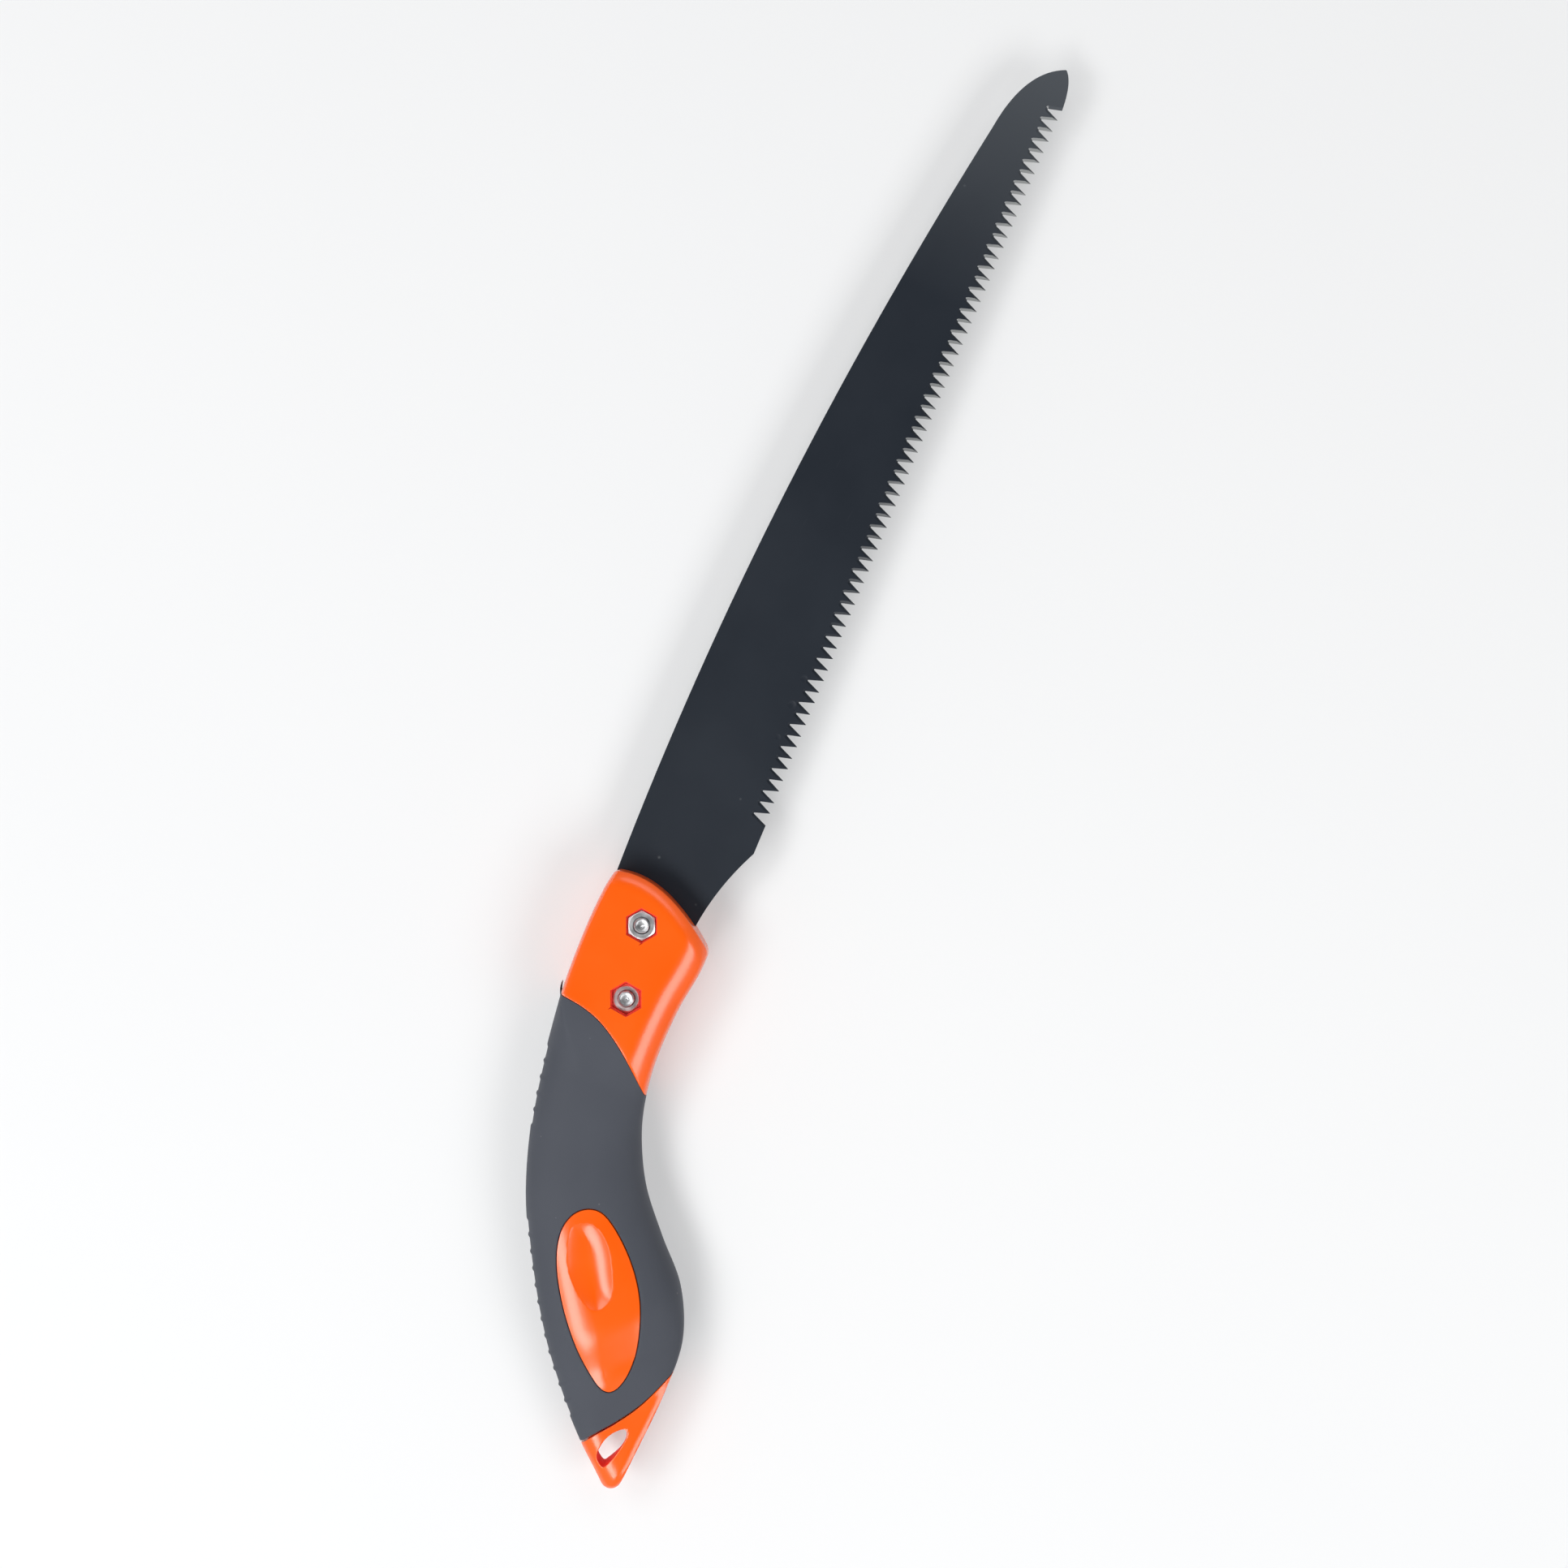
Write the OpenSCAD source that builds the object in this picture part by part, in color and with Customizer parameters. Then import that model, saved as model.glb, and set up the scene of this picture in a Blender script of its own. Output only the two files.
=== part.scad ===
// Pruning saw with a fixed blade: a toothed steel blade, bolted into a moulded handle with a soft sleeve.
// The saw lies on its side. +X runs along the blade to its nose, +Y to the back of the blade and +Z up.
// The origin is midway between the two bolts, on the lower cheek of the bolster. Sizes are in millimetres.

/* [Blade] */
// Reach of the blade, from midway between the bolts to the nose
blade_reach = 299; // [240:1:340]
// Thickness of the steel plate
blade_thickness = 1.25; // [0.9:0.05:1.6]
// Rise of the curved back between the bolster and the nose
back_crown = 6.6; // [0:0.1:9]
// Distance from midway between the bolts to the first tooth
teeth_start = 54; // [46:0.5:70]
// Depth of the first tooth's tip below the bolts
heel_depth = 16.5; // [14:0.1:19]
// Height of the last tooth's tip above the bolts
toe_height = 1.9; // [-4:0.1:5]
// Hollow of the tooth line, halfway between heel and toe
teeth_hollow = 0.5; // [0:0.1:3]
// Plain length of the nose ahead of the last tooth
nose_length = 11.4; // [8:0.1:16]
// Height of the nose's point above the bolts
nose_height = 6.5; // [4:0.1:9]
// Plain length of the heel behind the first tooth
heel_length = 9.3; // [5:0.1:14]
// Mean distance from one tooth tip to the next
tooth_pitch = 3.57; // [3:0.01:6]
// Share by which the teeth are wider at the heel and narrower at the toe
pitch_change = 0.022; // [0:0.002:0.1]
// Depth of the gullets between the teeth, where they show through the plate
tooth_depth = 5.1; // [3:0.1:6]
// Distance from a tip to the bottom of the gullet ahead of it
gullet_lead = 2.15; // [1.6:0.05:2.4]
// Distance that every second tip is set on towards the nose
tip_shift = 0.24; // [0:0.02:0.4]
// Width of the flat that is left on each tip
tip_flat = 0.1; // [0.05:0.01:0.3]
// Angle at which the gullets are ground across the plate, to the left and to the right by turns
grinding_angle = 25; // [5:1:35]

/* [Handle] */
// Length of the handle along X, from the front of the bolster to the end of the tail
handle_length = 170; // [150:1:190]
// Height of the bolster at the front bolt
bolster_height = 37.3; // [34:0.1:42]
// Thickness of the bolster between its flat cheeks
bolster_thickness = 24; // [23:0.1:28]
// Thickness of the narrow neck of the grip
neck_thickness = 21; // [18:0.1:24]
// Thickness of the palm swell
palm_thickness = 22.4; // [20:0.1:28]
// Thickness of the tail round the hang slot
tail_thickness = 11; // [9:0.1:16]
// Width of the rounding along the front and the spine of the bolster
cheek_rounding = 5; // [3:0.1:7]
// Width of the rounding along the belly of the bolster
belly_rounding = 10; // [6:0.1:12]
// Width of the rounding along both sides of the grip
grip_rounding = 16; // [10:0.5:17]
// Width of the rounding round the tail
tail_rounding = 5; // [3:0.1:6]
// Wall of the soft sleeve
sleeve_wall = 2.2; // [1.5:0.1:3]
// Wall of the bolster above the back of the blade
spine_wall = 0.9; // [0.8:0.1:3]
// Wall of the bolster below the tang
belly_wall = 7.6; // [5:0.1:9]
// Length of the hang slot
hang_slot_length = 13; // [10:0.5:14]
// Width of the hang slot
hang_slot_width = 5.4; // [4.5:0.1:6]
// Length of the thumb dish in each oval pad
dish_length = 24; // [14:0.5:28]
// Width of the thumb dish
dish_width = 11; // [6:0.5:13]
// Depth of the thumb dish
dish_depth = 1.3; // [0.5:0.1:1.8]
// Distance from one rib on the spine to the next
rib_pitch = 5.05; // [4:0.05:7]
// Height of the ribs on the spine
rib_height = 0.35; // [0.2:0.05:0.6]

/* [Bolts and nuts] */
// Diameter of the bolts
bolt_diameter = 5; // [4:0.5:6]
// Length of the bolts below the head
bolt_length = 20; // [18.5:0.1:20.1]
// Distance between the two bolts
bolt_spacing = 22.4; // [20:0.1:26]
// Diameter of the bolt heads
head_diameter = 9.5; // [8:0.1:11]
// Height of the bolt heads
head_height = 3.7; // [2.5:0.1:4]
// Width of the nuts across their flats
nut_flats = 8; // [7:0.1:10]
// Height of the nuts
nut_height = 4.7; // [3.5:0.1:5]
// Depth of the front nut below the cheek
front_nut_depth = 0.5; // [0.2:0.1:2]
// Depth of the rear nut below the cheek
rear_nut_depth = 2.1; // [0.5:0.1:3]

/* [Clearances] */
// Gap between the tang and each wall of its slot
slot_gap = 0.12; // [0.05:0.01:0.3]
// Gap between a bolt and its hole, all round
hole_gap = 0.2; // [0.1:0.05:0.4]
// Gap between a nut's flats and its pocket
pocket_gap = 0.4; // [0.2:0.05:0.6]
// Gap between a bolt head and its counterbore, all round
head_gap = 0.5; // [0.2:0.1:0.8]
// Gap between a bolt and the bore of its nut, all round
thread_gap = 0.05; // [0.03:0.01:0.1]
// Depth of the bolt heads below the lower cheek
head_recess = 0.2; // [0.1:0.1:1]

/* [Hidden] */

steel_black = "#2b2f37";
moulded_orange = "#ff6207";
sleeve_grey = "#565a61";
zinc_silver = "#b4b0ae";

// Length that cutters run past what they cut
past = 1;
mid_z = bolster_thickness / 2;

// The handle is drawn in thousandths of its length along X, and of the bolster's height along Y
function plan(p) = [p.x * handle_length, p.y * bolster_height] / 1000;
function plan_all(points) = [for (p = points) plan(p)];

// Spine and belly of the handle, in pairs from the front of the bolster to the end of the tail
spine_points = plan_all([
    [129, 480], [82, 493], [0, 477], [-109, 418], [-234, 300], [-351, 145], [-469, -88],
    [-586, -429], [-675, -743], [-745, -1048], [-804, -1351], [-839, -1566], [-854, -1678]
]);
belly_points = plan_all([
    [76, -491], [24, -509], [-47, -493], [-141, -517], [-218, -590], [-282, -708], [-353, -917],
    [-418, -1212], [-482, -1528], [-565, -1740], [-659, -1802], [-759, -1815], [-836, -1810]
]);
last_row = len(spine_points) - 1;

// How far the front edge swells ahead of its chord, and the end of the tail behind its own
front_bulge = plan([29, 0]).x;
tail_bulge = plan([12, 0]).x;
row_bulge = [for (i = [0:last_row])
    i == 0 ? front_bulge : i == 1 ? front_bulge / 2 : i == last_row ? -tail_bulge : 0];
// How far the lower corner of the front edge is drawn back, over a share of the edge
corner_back = plan([7, 0]).x;
corner_share = 0.2;
// Rows of the outline up to which the bolster, the neck, the palm and the whole grip reach
bolster_rows = 3;
neck_rows = 5;
palm_rows = 8;
grip_rows = 9;
row_thickness = [for (i = [0:last_row])
    i <= bolster_rows ? bolster_thickness
    : i <= neck_rows ? neck_thickness
    : i <= palm_rows ? palm_thickness
    : i <= grip_rows ? (palm_thickness + tail_thickness) / 2
    : tail_thickness];
row_spine_rounding = [for (i = [0:last_row])
    i <= bolster_rows ? cheek_rounding : i <= grip_rows ? grip_rounding : tail_rounding];
row_belly_rounding = [for (i = [0:last_row])
    i <= bolster_rows ? belly_rounding : i <= grip_rows ? grip_rounding : tail_rounding];
// Edge of the bolster against the sleeve, from the spine to the belly
bolster_edge = plan_all([[-108, 421], [-111, 188], [-124, -21], [-155, -273], [-206, -574]]);
// Edge of the tail against the sleeve, from the spine to the belly
tail_edge = plan_all([[-806, -1351], [-741, -1544], [-686, -1678], [-621, -1786]]);
// Outline of the oval pads
pad_points = plan_all([
    [-420, -676], [-445, -903], [-491, -1142], [-544, -1311], [-615, -1432], [-674, -1442],
    [-697, -1346], [-667, -1099], [-603, -786], [-535, -558], [-478, -469], [-436, -517]
]);
dish_middle = plan([-494, -686]);
dish_turn = 34;
hang_slot_middle = plan([-785, -1630]);
hang_slot_turn = 10;
// Rows of the outline between which the ribs lie, in two groups
rib_groups = [[3.25, 4.7], [6.1, 9.4]];
rib_radius = 0.22 * rib_pitch;
rib_length = 0.4 * neck_thickness;

// Steps of the handle's surface along each row and from one belly edge to the spine
row_steps = 3;
edge_steps = 5;
across_steps = 14;
edge_power = 2.3;

bolt_turn = 15;
nut_turn = 27;
front_place = bolt_spacing / 2 * [cos(bolt_turn), sin(bolt_turn)];
rear_place = -front_place;
hole_radius = bolt_diameter / 2 + hole_gap;
head_seat = head_height + head_recess;
pocket_flats = nut_flats + 2 * pocket_gap;

// Smooth curve through a list of numbers or points, where u counts the rows
function curve(rows, u) =
    let (n = len(rows) - 1, i = min(floor(u), n - 1), t = u - i,
         a = rows[max(i - 1, 0)], b = rows[i], c = rows[i + 1], d = rows[min(i + 2, n)])
    b + t / 2 * (c - a + t * (2 * a - 5 * b + 4 * c - d + t * (3 * b - 3 * c + d - a)));

// Level stretches joined by smooth steps, without overshoot
function steps(rows, u) =
    let (i = min(floor(u), len(rows) - 2), t = u - i)
    rows[i] + (rows[i + 1] - rows[i]) * t * t * (3 - 2 * t);

// Smooth closed curve through a list of points
function ring(points, parts) =
    let (n = len(points))
    [for (i = [0:n - 1], k = [0:parts - 1])
        curve([for (j = [-1:2]) points[(i + j + n) % n]], 1 + k / parts)];

// Points of a curve that has one control point
function bow(from, control, to, parts) =
    [for (k = [0:parts]) let (t = k / parts)
        (1 - t) * (1 - t) * from + 2 * t * (1 - t) * control + t * t * to];

function round_over(depth, width) =
    depth >= width ? 1 : pow(1 - pow(1 - depth / width, edge_power), 1 / edge_power);

// Half thickness of the handle at a place on row u, inside a wall that is taken off all round
function half_thickness(u, from_belly, from_spine, wall) =
    (steps(row_thickness, u) / 2 - wall)
    * round_over(from_belly, steps(row_belly_rounding, u) - wall)
    * round_over(from_spine, steps(row_spine_rounding, u) - wall);

// One cross-section of the handle: belly to spine over the top, then back below
function section(u, wall, end_round) =
    let (spine = curve(spine_points, u), belly = curve(belly_points, u),
         width = norm(spine - belly), side = (spine - belly) / width, bulge = steps(row_bulge, u),
         corner = corner_back * max(1 - u, 0),
         upper = [for (j = [0:across_steps])
             let (v = (1 - cos(180 * j / across_steps)) / 2, inside = width - 2 * wall,
                  forward = bulge * 4 * v * (1 - v) - corner * pow(max(1 - v / corner_share, 0), 2),
                  place = belly + side * (wall + v * inside) + [forward, 0])
             [place.x, place.y, end_round * half_thickness(u, v * inside, (1 - v) * inside, wall)]])
    [for (p = upper) [p.x, p.y, mid_z + p.z],
     for (j = [across_steps - 1:-1:1]) [upper[j].x, upper[j].y, mid_z - upper[j].z]];

// Solid skin over a list of cross-sections
module skin(sections) {
    size = len(sections[0]);
    last = len(sections) - 1;
    sides = [for (i = [0:last - 1], j = [0:size - 1])
        let (a = i * size + j, b = i * size + (j + 1) % size)
        each [[a, b + size, b], [a, a + size, b + size]]];
    function cap(start) = [for (j = [0:across_steps - 1])
        let (a = start + j, b = start + (size - j) % size,
             c = start + j + 1, d = start + size - j - 1)
        each [if (j > 0) [a, c, b], if (j < across_steps - 1) [c, d, b]]];
    first_cap = cap(0);
    last_cap = [for (f = cap(last * size)) [f[0], f[2], f[1]]];
    polyhedron([for (s = sections) each s], concat(sides, first_cap, last_cap), convexity = 6);
}

// Outer skin of the whole handle, rounded off at the front and at the tail
module handle_skin() {
    front_rows = 0.5;
    tail_rows = 0.7;
    front = [for (k = [1:edge_steps]) let (t = 1 - cos(90 * k / edge_steps))
        section(front_rows * t, 0, round_over(t, 1))];
    middle = [for (k = [2:(last_row - 1) * row_steps]) section(k / row_steps, 0, 1)];
    tail = [for (k = [edge_steps:-1:1]) let (t = 1 - cos(90 * k / edge_steps))
        section(last_row - tail_rows * t, 0, round_over(t, 1))];
    skin(concat(front, middle, tail));
}

// Stem that the soft sleeve is moulded over, from inside the bolster to inside the tail
module stem() {
    first = 2;
    last = last_row - 1.7;
    count = (last_row - 4) * row_steps;
    skin([for (k = [0:count]) section(first + (last - first) * k / count, sleeve_wall, 1)]);
}

// Plan of the parts of the moulding that reach the surface: bolster, pads and tail
module bare_plan() {
    reach = handle_length;
    polygon(concat(
        [[reach, reach]], [[bolster_edge[0].x, reach]],
        [for (k = [0:4 * row_steps]) curve(bolster_edge, k / row_steps)],
        [[bolster_edge[4].x, -reach], [reach, -reach]]
    ));
    polygon(concat(
        [[-2 * reach, reach / 2], [tail_edge[0].x, reach / 2]],
        [for (k = [0:3 * row_steps]) curve(tail_edge, k / row_steps)],
        [[tail_edge[3].x, -reach], [-2 * reach, -reach]]
    ));
    polygon(ring(pad_points, row_steps));
}

module bare_column() {
    translate([0, 0, -bolster_thickness])
        linear_extrude(3 * bolster_thickness) bare_plan();
}

front_x = spine_points[0].x;
back_height = spine_points[1].y - spine_wall;
tang_low = belly_points[1].y + belly_wall;
tang_margin = 1.5 * bolt_diameter;
tang_half = rear_place.y - tang_low;
tang_end = rear_place.x - tang_margin;

// Tang: tapers from the blade's full height at the bolster to a short end round the rear bolt
tang_points = [
    [tang_end, tang_low], [front_place.x, tang_low], [front_x + past, tang_low],
    [front_x + past, back_height], [tang_end, rear_place.y + tang_half]
];

heel = [teeth_start, -heel_depth];
toe = [blade_reach - nose_length, toe_height];
nose = [blade_reach, nose_height];
nose_curve = 2.2 * nose_length;
nose_back = blade_reach - nose_curve;
function back_y(x) =
    let (half = (nose_back - front_x) / 2, t = (x - front_x) / half - 1)
    back_height + back_crown * (1 - t * t);
back_steps = 16;
back_points = [for (k = [0:back_steps])
    let (x = front_x + (nose_back - front_x) * k / back_steps)
    [x, back_y(x)]];
// The control points of the nose carry the curve of the back over its top and round its chin
nose_top = [nose.x - 0.5 * nose_length, back_y(nose_back) - 0.15 * nose_height];
nose_chin = [nose.x - 0.23 * nose_length, toe.y + 0.17 * nose_height];
nose_flat = [0, 0.05 * nose_height];
nose_points = concat(
    bow([nose_back, back_y(nose_back)], nose_top, nose, 8), bow(nose - nose_flat, nose_chin, toe, 6)
);
line_length = norm(toe - heel);
along_line = (toe - heel) / line_length;
into_blade = [-along_line.y, along_line.x];
line_angle = atan2(along_line.y, along_line.x);
teeth = 2 * round(line_length / tooth_pitch / 2);
// Distance of tip k along the tooth line, and a place on that hollow line
function tip_run(k) =
    line_length / teeth * (k + pitch_change * k * (teeth - k) / teeth) + (k % 2) * tip_shift;
function tooth_line(run) =
    heel + along_line * run + into_blade * teeth_hollow * 4 * run * (line_length - run) / pow(line_length, 2);
// The plate ends just inside the points where the gullets' flanks meet
tip_points = [for (k = [teeth - 1:-1:1])
    tooth_line(tip_run(k)) + into_blade * tip_flat * tooth_depth / tooth_pitch];
heel_fall = 0.075 * heel_length;
heel_corner = heel - [heel_length, heel_fall];
heel_bow = 3.2 * heel_length;
heel_curve_end = [heel_corner.x - heel_bow, tang_low];
heel_control = [heel_corner.x - heel_bow / 2, tang_low];
heel_points = concat(
    [heel], [for (p = bow(heel_corner, heel_control, heel_curve_end, 10)) if (p.x > front_place.x) p]
);

module bolt_holes(radius, height) {
    for (place = [front_place, rear_place])
        translate([place.x, place.y, -past]) cylinder(r = radius, h = height + 2 * past, $fn = 48);
}

// Gullet between tip k and the next. It crosses the plate at an angle, so each face is cut deeper
// than shows through
module gullet(k) {
    lean = k % 2 == 0 ? -grinding_angle : grinding_angle;
    crossing = blade_thickness * tan(grinding_angle);
    width = tip_run(k + 1) - tip_run(k);
    depth = tooth_depth * (1 + crossing / width);
    behind = gullet_lead * depth / tooth_depth;
    ahead = (width - gullet_lead) * depth / tooth_depth;
    mouth = 1 + past / depth;
    place = tooth_line(tip_run(k) + behind - crossing / 2);
    translate([place.x, place.y, mid_z]) rotate(line_angle) rotate([0, lean, 0])
        linear_extrude(3 * blade_thickness, center = true)
            polygon([
                [0, depth], [-behind * mouth * cos(lean), -past], [ahead * mouth * cos(lean), -past]
            ]);
}

module blade() {
    color(steel_black) difference() {
        translate([0, 0, mid_z - blade_thickness / 2]) linear_extrude(blade_thickness)
            polygon(concat(
                back_points, nose_points, tip_points, heel_points,
                [[tang_end, tang_low], [tang_end, rear_place.y + tang_half]]
            ));
        bolt_holes(hole_radius, bolster_thickness);
        for (k = [0:teeth - 1]) gullet(k);
    }
}

module hang_slot() {
    run = (hang_slot_length - hang_slot_width) / 2;
    translate([hang_slot_middle.x, hang_slot_middle.y, mid_z - tail_thickness]) rotate(-hang_slot_turn) {
        for (side = [-1, 1])
            translate([side * run, 0, 0]) cylinder(d = hang_slot_width, h = 2 * tail_thickness, $fn = 48);
        translate([-run, -hang_slot_width / 2, 0]) cube([2 * run, hang_slot_width, 2 * tail_thickness]);
    }
}

// Spindle that dishes one pad: a circular arc turned about the dish's own length
module dish(level, up) {
    cut_radius = (dish_width * dish_width / 4 + dish_depth * dish_depth) / (2 * dish_depth);
    arc_radius = (dish_length * dish_length / 4 + dish_depth * dish_depth) / (2 * dish_depth);
    translate([dish_middle.x, dish_middle.y, level + up * (cut_radius - dish_depth)])
        rotate([0, 0, dish_turn]) rotate([0, 90, 0])
            rotate_extrude($fn = 96) intersection() {
                translate([cut_radius - arc_radius, 0]) circle(r = arc_radius, $fn = 96);
                translate([0, -dish_length]) square([cut_radius + past, 2 * dish_length]);
            }
}

module nut_pocket(place, depth) {
    floor_z = bolster_thickness - depth - nut_height;
    translate([place.x, place.y, floor_z]) rotate(nut_turn)
        cylinder(d = pocket_flats / cos(30), h = depth + nut_height + past, $fn = 6);
}

module handle_core() {
    color(moulded_orange) difference() {
        union() {
            stem();
            intersection() {
                handle_skin();
                bare_column();
            }
        }
        translate([0, 0, mid_z - blade_thickness / 2 - slot_gap])
            linear_extrude(blade_thickness + 2 * slot_gap) offset(delta = slot_gap) polygon(tang_points);
        bolt_holes(hole_radius, bolster_thickness);
        for (place = [front_place, rear_place])
            translate([place.x, place.y, -past])
                cylinder(d = head_diameter + 2 * head_gap, h = head_seat + past, $fn = 48);
        nut_pocket(front_place, front_nut_depth);
        nut_pocket(rear_place, rear_nut_depth);
        hang_slot();
        dish(mid_z + palm_thickness / 2, 1);
        dish(mid_z - palm_thickness / 2, -1);
    }
}

module spine_ribs() {
    for (group = rib_groups) {
        run = norm(curve(spine_points, group[1]) - curve(spine_points, group[0]));
        count = floor(run / rib_pitch);
        for (k = [0:count]) {
            u = group[0] + (group[1] - group[0]) * k / count;
            edge = curve(spine_points, u);
            inward = (curve(belly_points, u) - edge) / norm(curve(belly_points, u) - edge);
            middle = edge + inward * (rib_radius - rib_height);
            translate([middle.x, middle.y, mid_z - rib_length / 2])
                cylinder(r = rib_radius, h = rib_length, $fn = 24);
        }
    }
}

module grip_sleeve() {
    color(sleeve_grey) difference() {
        union() {
            handle_skin();
            spine_ribs();
        }
        bare_column();
        stem();
    }
}

// Pan head bolt with a cross recess, its head down and its rounded point up
module bolt(place) {
    shank = bolt_diameter / 2;
    crown = head_height * 0.4;
    point = bolt_diameter * 0.16;
    recess = [head_diameter * 0.55, head_diameter * 0.1, head_height * 0.6];
    color(zinc_silver) translate([place.x, place.y, head_recess]) difference() {
        rotate_extrude($fn = 48) polygon([
            [0, 0], [head_diameter / 2 - crown, 0], [head_diameter / 2, crown],
            [head_diameter / 2, head_height], [shank, head_height],
            [shank, head_height + bolt_length - point],
            [shank - point, head_height + bolt_length], [0, head_height + bolt_length]
        ]);
        for (turn = [0, 90])
            rotate(bolt_turn + turn) translate([-recess.x / 2, -recess.y / 2, -past])
                cube([recess.x, recess.y, recess.z + past]);
    }
}

module front_bolt() { bolt(front_place); }
module rear_bolt() { bolt(rear_place); }

// Hexagon nut with chamfered corners
module nut(place, depth) {
    corner = nut_flats / 2 / cos(30);
    chamfer = corner - nut_flats / 2;
    color(zinc_silver) translate([place.x, place.y, bolster_thickness - depth - nut_height]) difference() {
        intersection() {
            rotate(nut_turn) cylinder(r = corner, h = nut_height, $fn = 6);
            rotate_extrude($fn = 72) polygon([
                [0, 0], [nut_flats / 2, 0], [corner, chamfer * tan(30)],
                [corner, nut_height - chamfer * tan(30)], [nut_flats / 2, nut_height], [0, nut_height]
            ]);
        }
        translate([0, 0, -past])
            cylinder(r = bolt_diameter / 2 + thread_gap, h = nut_height + 2 * past, $fn = 48);
    }
}

module front_nut() { nut(front_place, front_nut_depth); }
module rear_nut() { nut(rear_place, rear_nut_depth); }

blade();
handle_core();
grip_sleeve();
front_bolt();
rear_bolt();
front_nut();
rear_nut();
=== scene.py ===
# %% [markdown]
# # A pruning saw with a fixed blade
# A toothed steel blade is bolted into a moulded handle with a soft sleeve. Its solids come from CAD as a fixed frame.
# This lesson models each piece again with finer form, in the same place, and gives it a finish made of nodes.

# %% Load the frame
from math import atan2, copysign, cos, hypot, pi, radians, sin, sqrt, tan
import bmesh
import bpy
from mathutils import Matrix, Vector


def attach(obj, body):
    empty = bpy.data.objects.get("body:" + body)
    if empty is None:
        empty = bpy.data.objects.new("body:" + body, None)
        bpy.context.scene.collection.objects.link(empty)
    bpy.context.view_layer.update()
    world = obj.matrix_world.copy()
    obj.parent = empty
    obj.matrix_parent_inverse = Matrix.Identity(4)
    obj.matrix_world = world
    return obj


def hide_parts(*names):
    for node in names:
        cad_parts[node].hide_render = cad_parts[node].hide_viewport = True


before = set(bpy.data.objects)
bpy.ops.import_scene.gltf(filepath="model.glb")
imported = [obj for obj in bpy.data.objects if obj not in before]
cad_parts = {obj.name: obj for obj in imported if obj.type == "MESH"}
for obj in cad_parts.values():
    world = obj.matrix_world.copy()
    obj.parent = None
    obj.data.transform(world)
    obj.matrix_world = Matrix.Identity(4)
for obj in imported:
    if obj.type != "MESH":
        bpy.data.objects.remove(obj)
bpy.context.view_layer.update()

MM = 0.001
print("Nodes:", sorted(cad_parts))

# %% [markdown]
# ## Working in edit mode
# Every piece starts as a primitive. An operator acts on all that is selected, and the frame leaves its nodes
# selected, so each step first takes hold of one piece alone.

# %% Take hold of a piece
def clear_selection():
    if bpy.context.object and bpy.context.object.mode != "OBJECT":
        bpy.ops.object.mode_set(mode="OBJECT")
    bpy.ops.object.select_all(action="DESELECT")

def begin(primitive, name, **settings):
    clear_selection()
    primitive(**settings)
    piece = bpy.context.object
    piece.name = piece.data.name = name
    return piece

def take(piece):
    clear_selection()
    piece.select_set(True)
    bpy.context.view_layer.objects.active = piece

def edit(piece):
    take(piece)
    bpy.ops.object.mode_set(mode="EDIT")
    bpy.ops.mesh.select_all(action="SELECT")

print("Selected:", len(bpy.context.selected_objects))

# %% [markdown]
# Most forms here are skins over cross-sections. Converted curves would do, but extruding one ring of points from
# section to section keeps the edges on the lines that matter.

# %% Extrude a ring from section to section
MERGE = 0.002 * MM

def close_up(piece):
    edit(piece)
    bpy.ops.mesh.remove_doubles(threshold=MERGE)
    bpy.ops.mesh.fill_holes(sides=0)
    bpy.ops.mesh.select_all(action="SELECT")
    bpy.ops.mesh.normals_make_consistent(inside=False)
    bpy.ops.object.mode_set(mode="OBJECT")
    return piece

def place_last(piece, points):
    mesh = bmesh.from_edit_mesh(piece.data)
    mesh.verts.ensure_lookup_table()
    for vert, point in zip(mesh.verts[-len(points):], points):
        vert.co = [part * MM for part in point]

def first_ring(name, points):
    piece = begin(bpy.ops.mesh.primitive_circle_add, name, vertices=len(points), radius=MM)
    bpy.ops.object.mode_set(mode="EDIT")
    place_last(piece, points)
    return piece

def loft(name, rings):
    piece = first_ring(name, rings[0])
    for ring in rings[1:]:
        bpy.ops.mesh.extrude_region_move()
        place_last(piece, ring)
    return close_up(piece)

print(f"Merged: points within {MERGE / MM:.3f} mm")

# %% [markdown]
# Flat pieces are an outline, filled and extruded. Holes, pockets and gullets are cut by a Boolean modifier, with a
# tool in the shape of what is taken away.

# %% Plates, copies and cuts
def plate(name, outline, low, high):
    piece = first_ring(name, [(x, y, low) for x, y in outline])
    bpy.ops.mesh.edge_face_add()
    bpy.ops.mesh.extrude_region_move(TRANSFORM_OT_translate={"value": (0, 0, (high - low) * MM)})
    return close_up(piece)

def copy_of(piece, name, matrix):
    copy = piece.copy()
    copy.data = piece.data.copy()
    copy.name = copy.data.name = name
    bpy.context.collection.objects.link(copy)
    copy.data.transform(matrix)
    return copy

def join(pieces):
    take(pieces[0])
    for piece in pieces:
        piece.select_set(True)
    bpy.ops.object.join()
    return pieces[0]

def combine(piece, tool, operation="DIFFERENCE"):
    take(piece)
    modifier = piece.modifiers.new(operation.title(), "BOOLEAN")
    modifier.operation, modifier.object, modifier.solver = operation, tool, "EXACT"
    bpy.ops.object.modifier_apply(modifier=modifier.name)
    bpy.data.objects.remove(tool)

def tell(label, piece):
    print(f"{label}: {len(piece.data.polygons)} faces")

print("Ways to shape: loft, plate, copy_of, join, combine")

# %% [markdown]
# ## The lines of the handle
# The handle is drawn as pairs of points on its spine and its belly, with a smooth curve through each row. They follow
# the CAD source to about a millimetre, in thousandths of the handle's length and the bolster's height.

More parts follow.
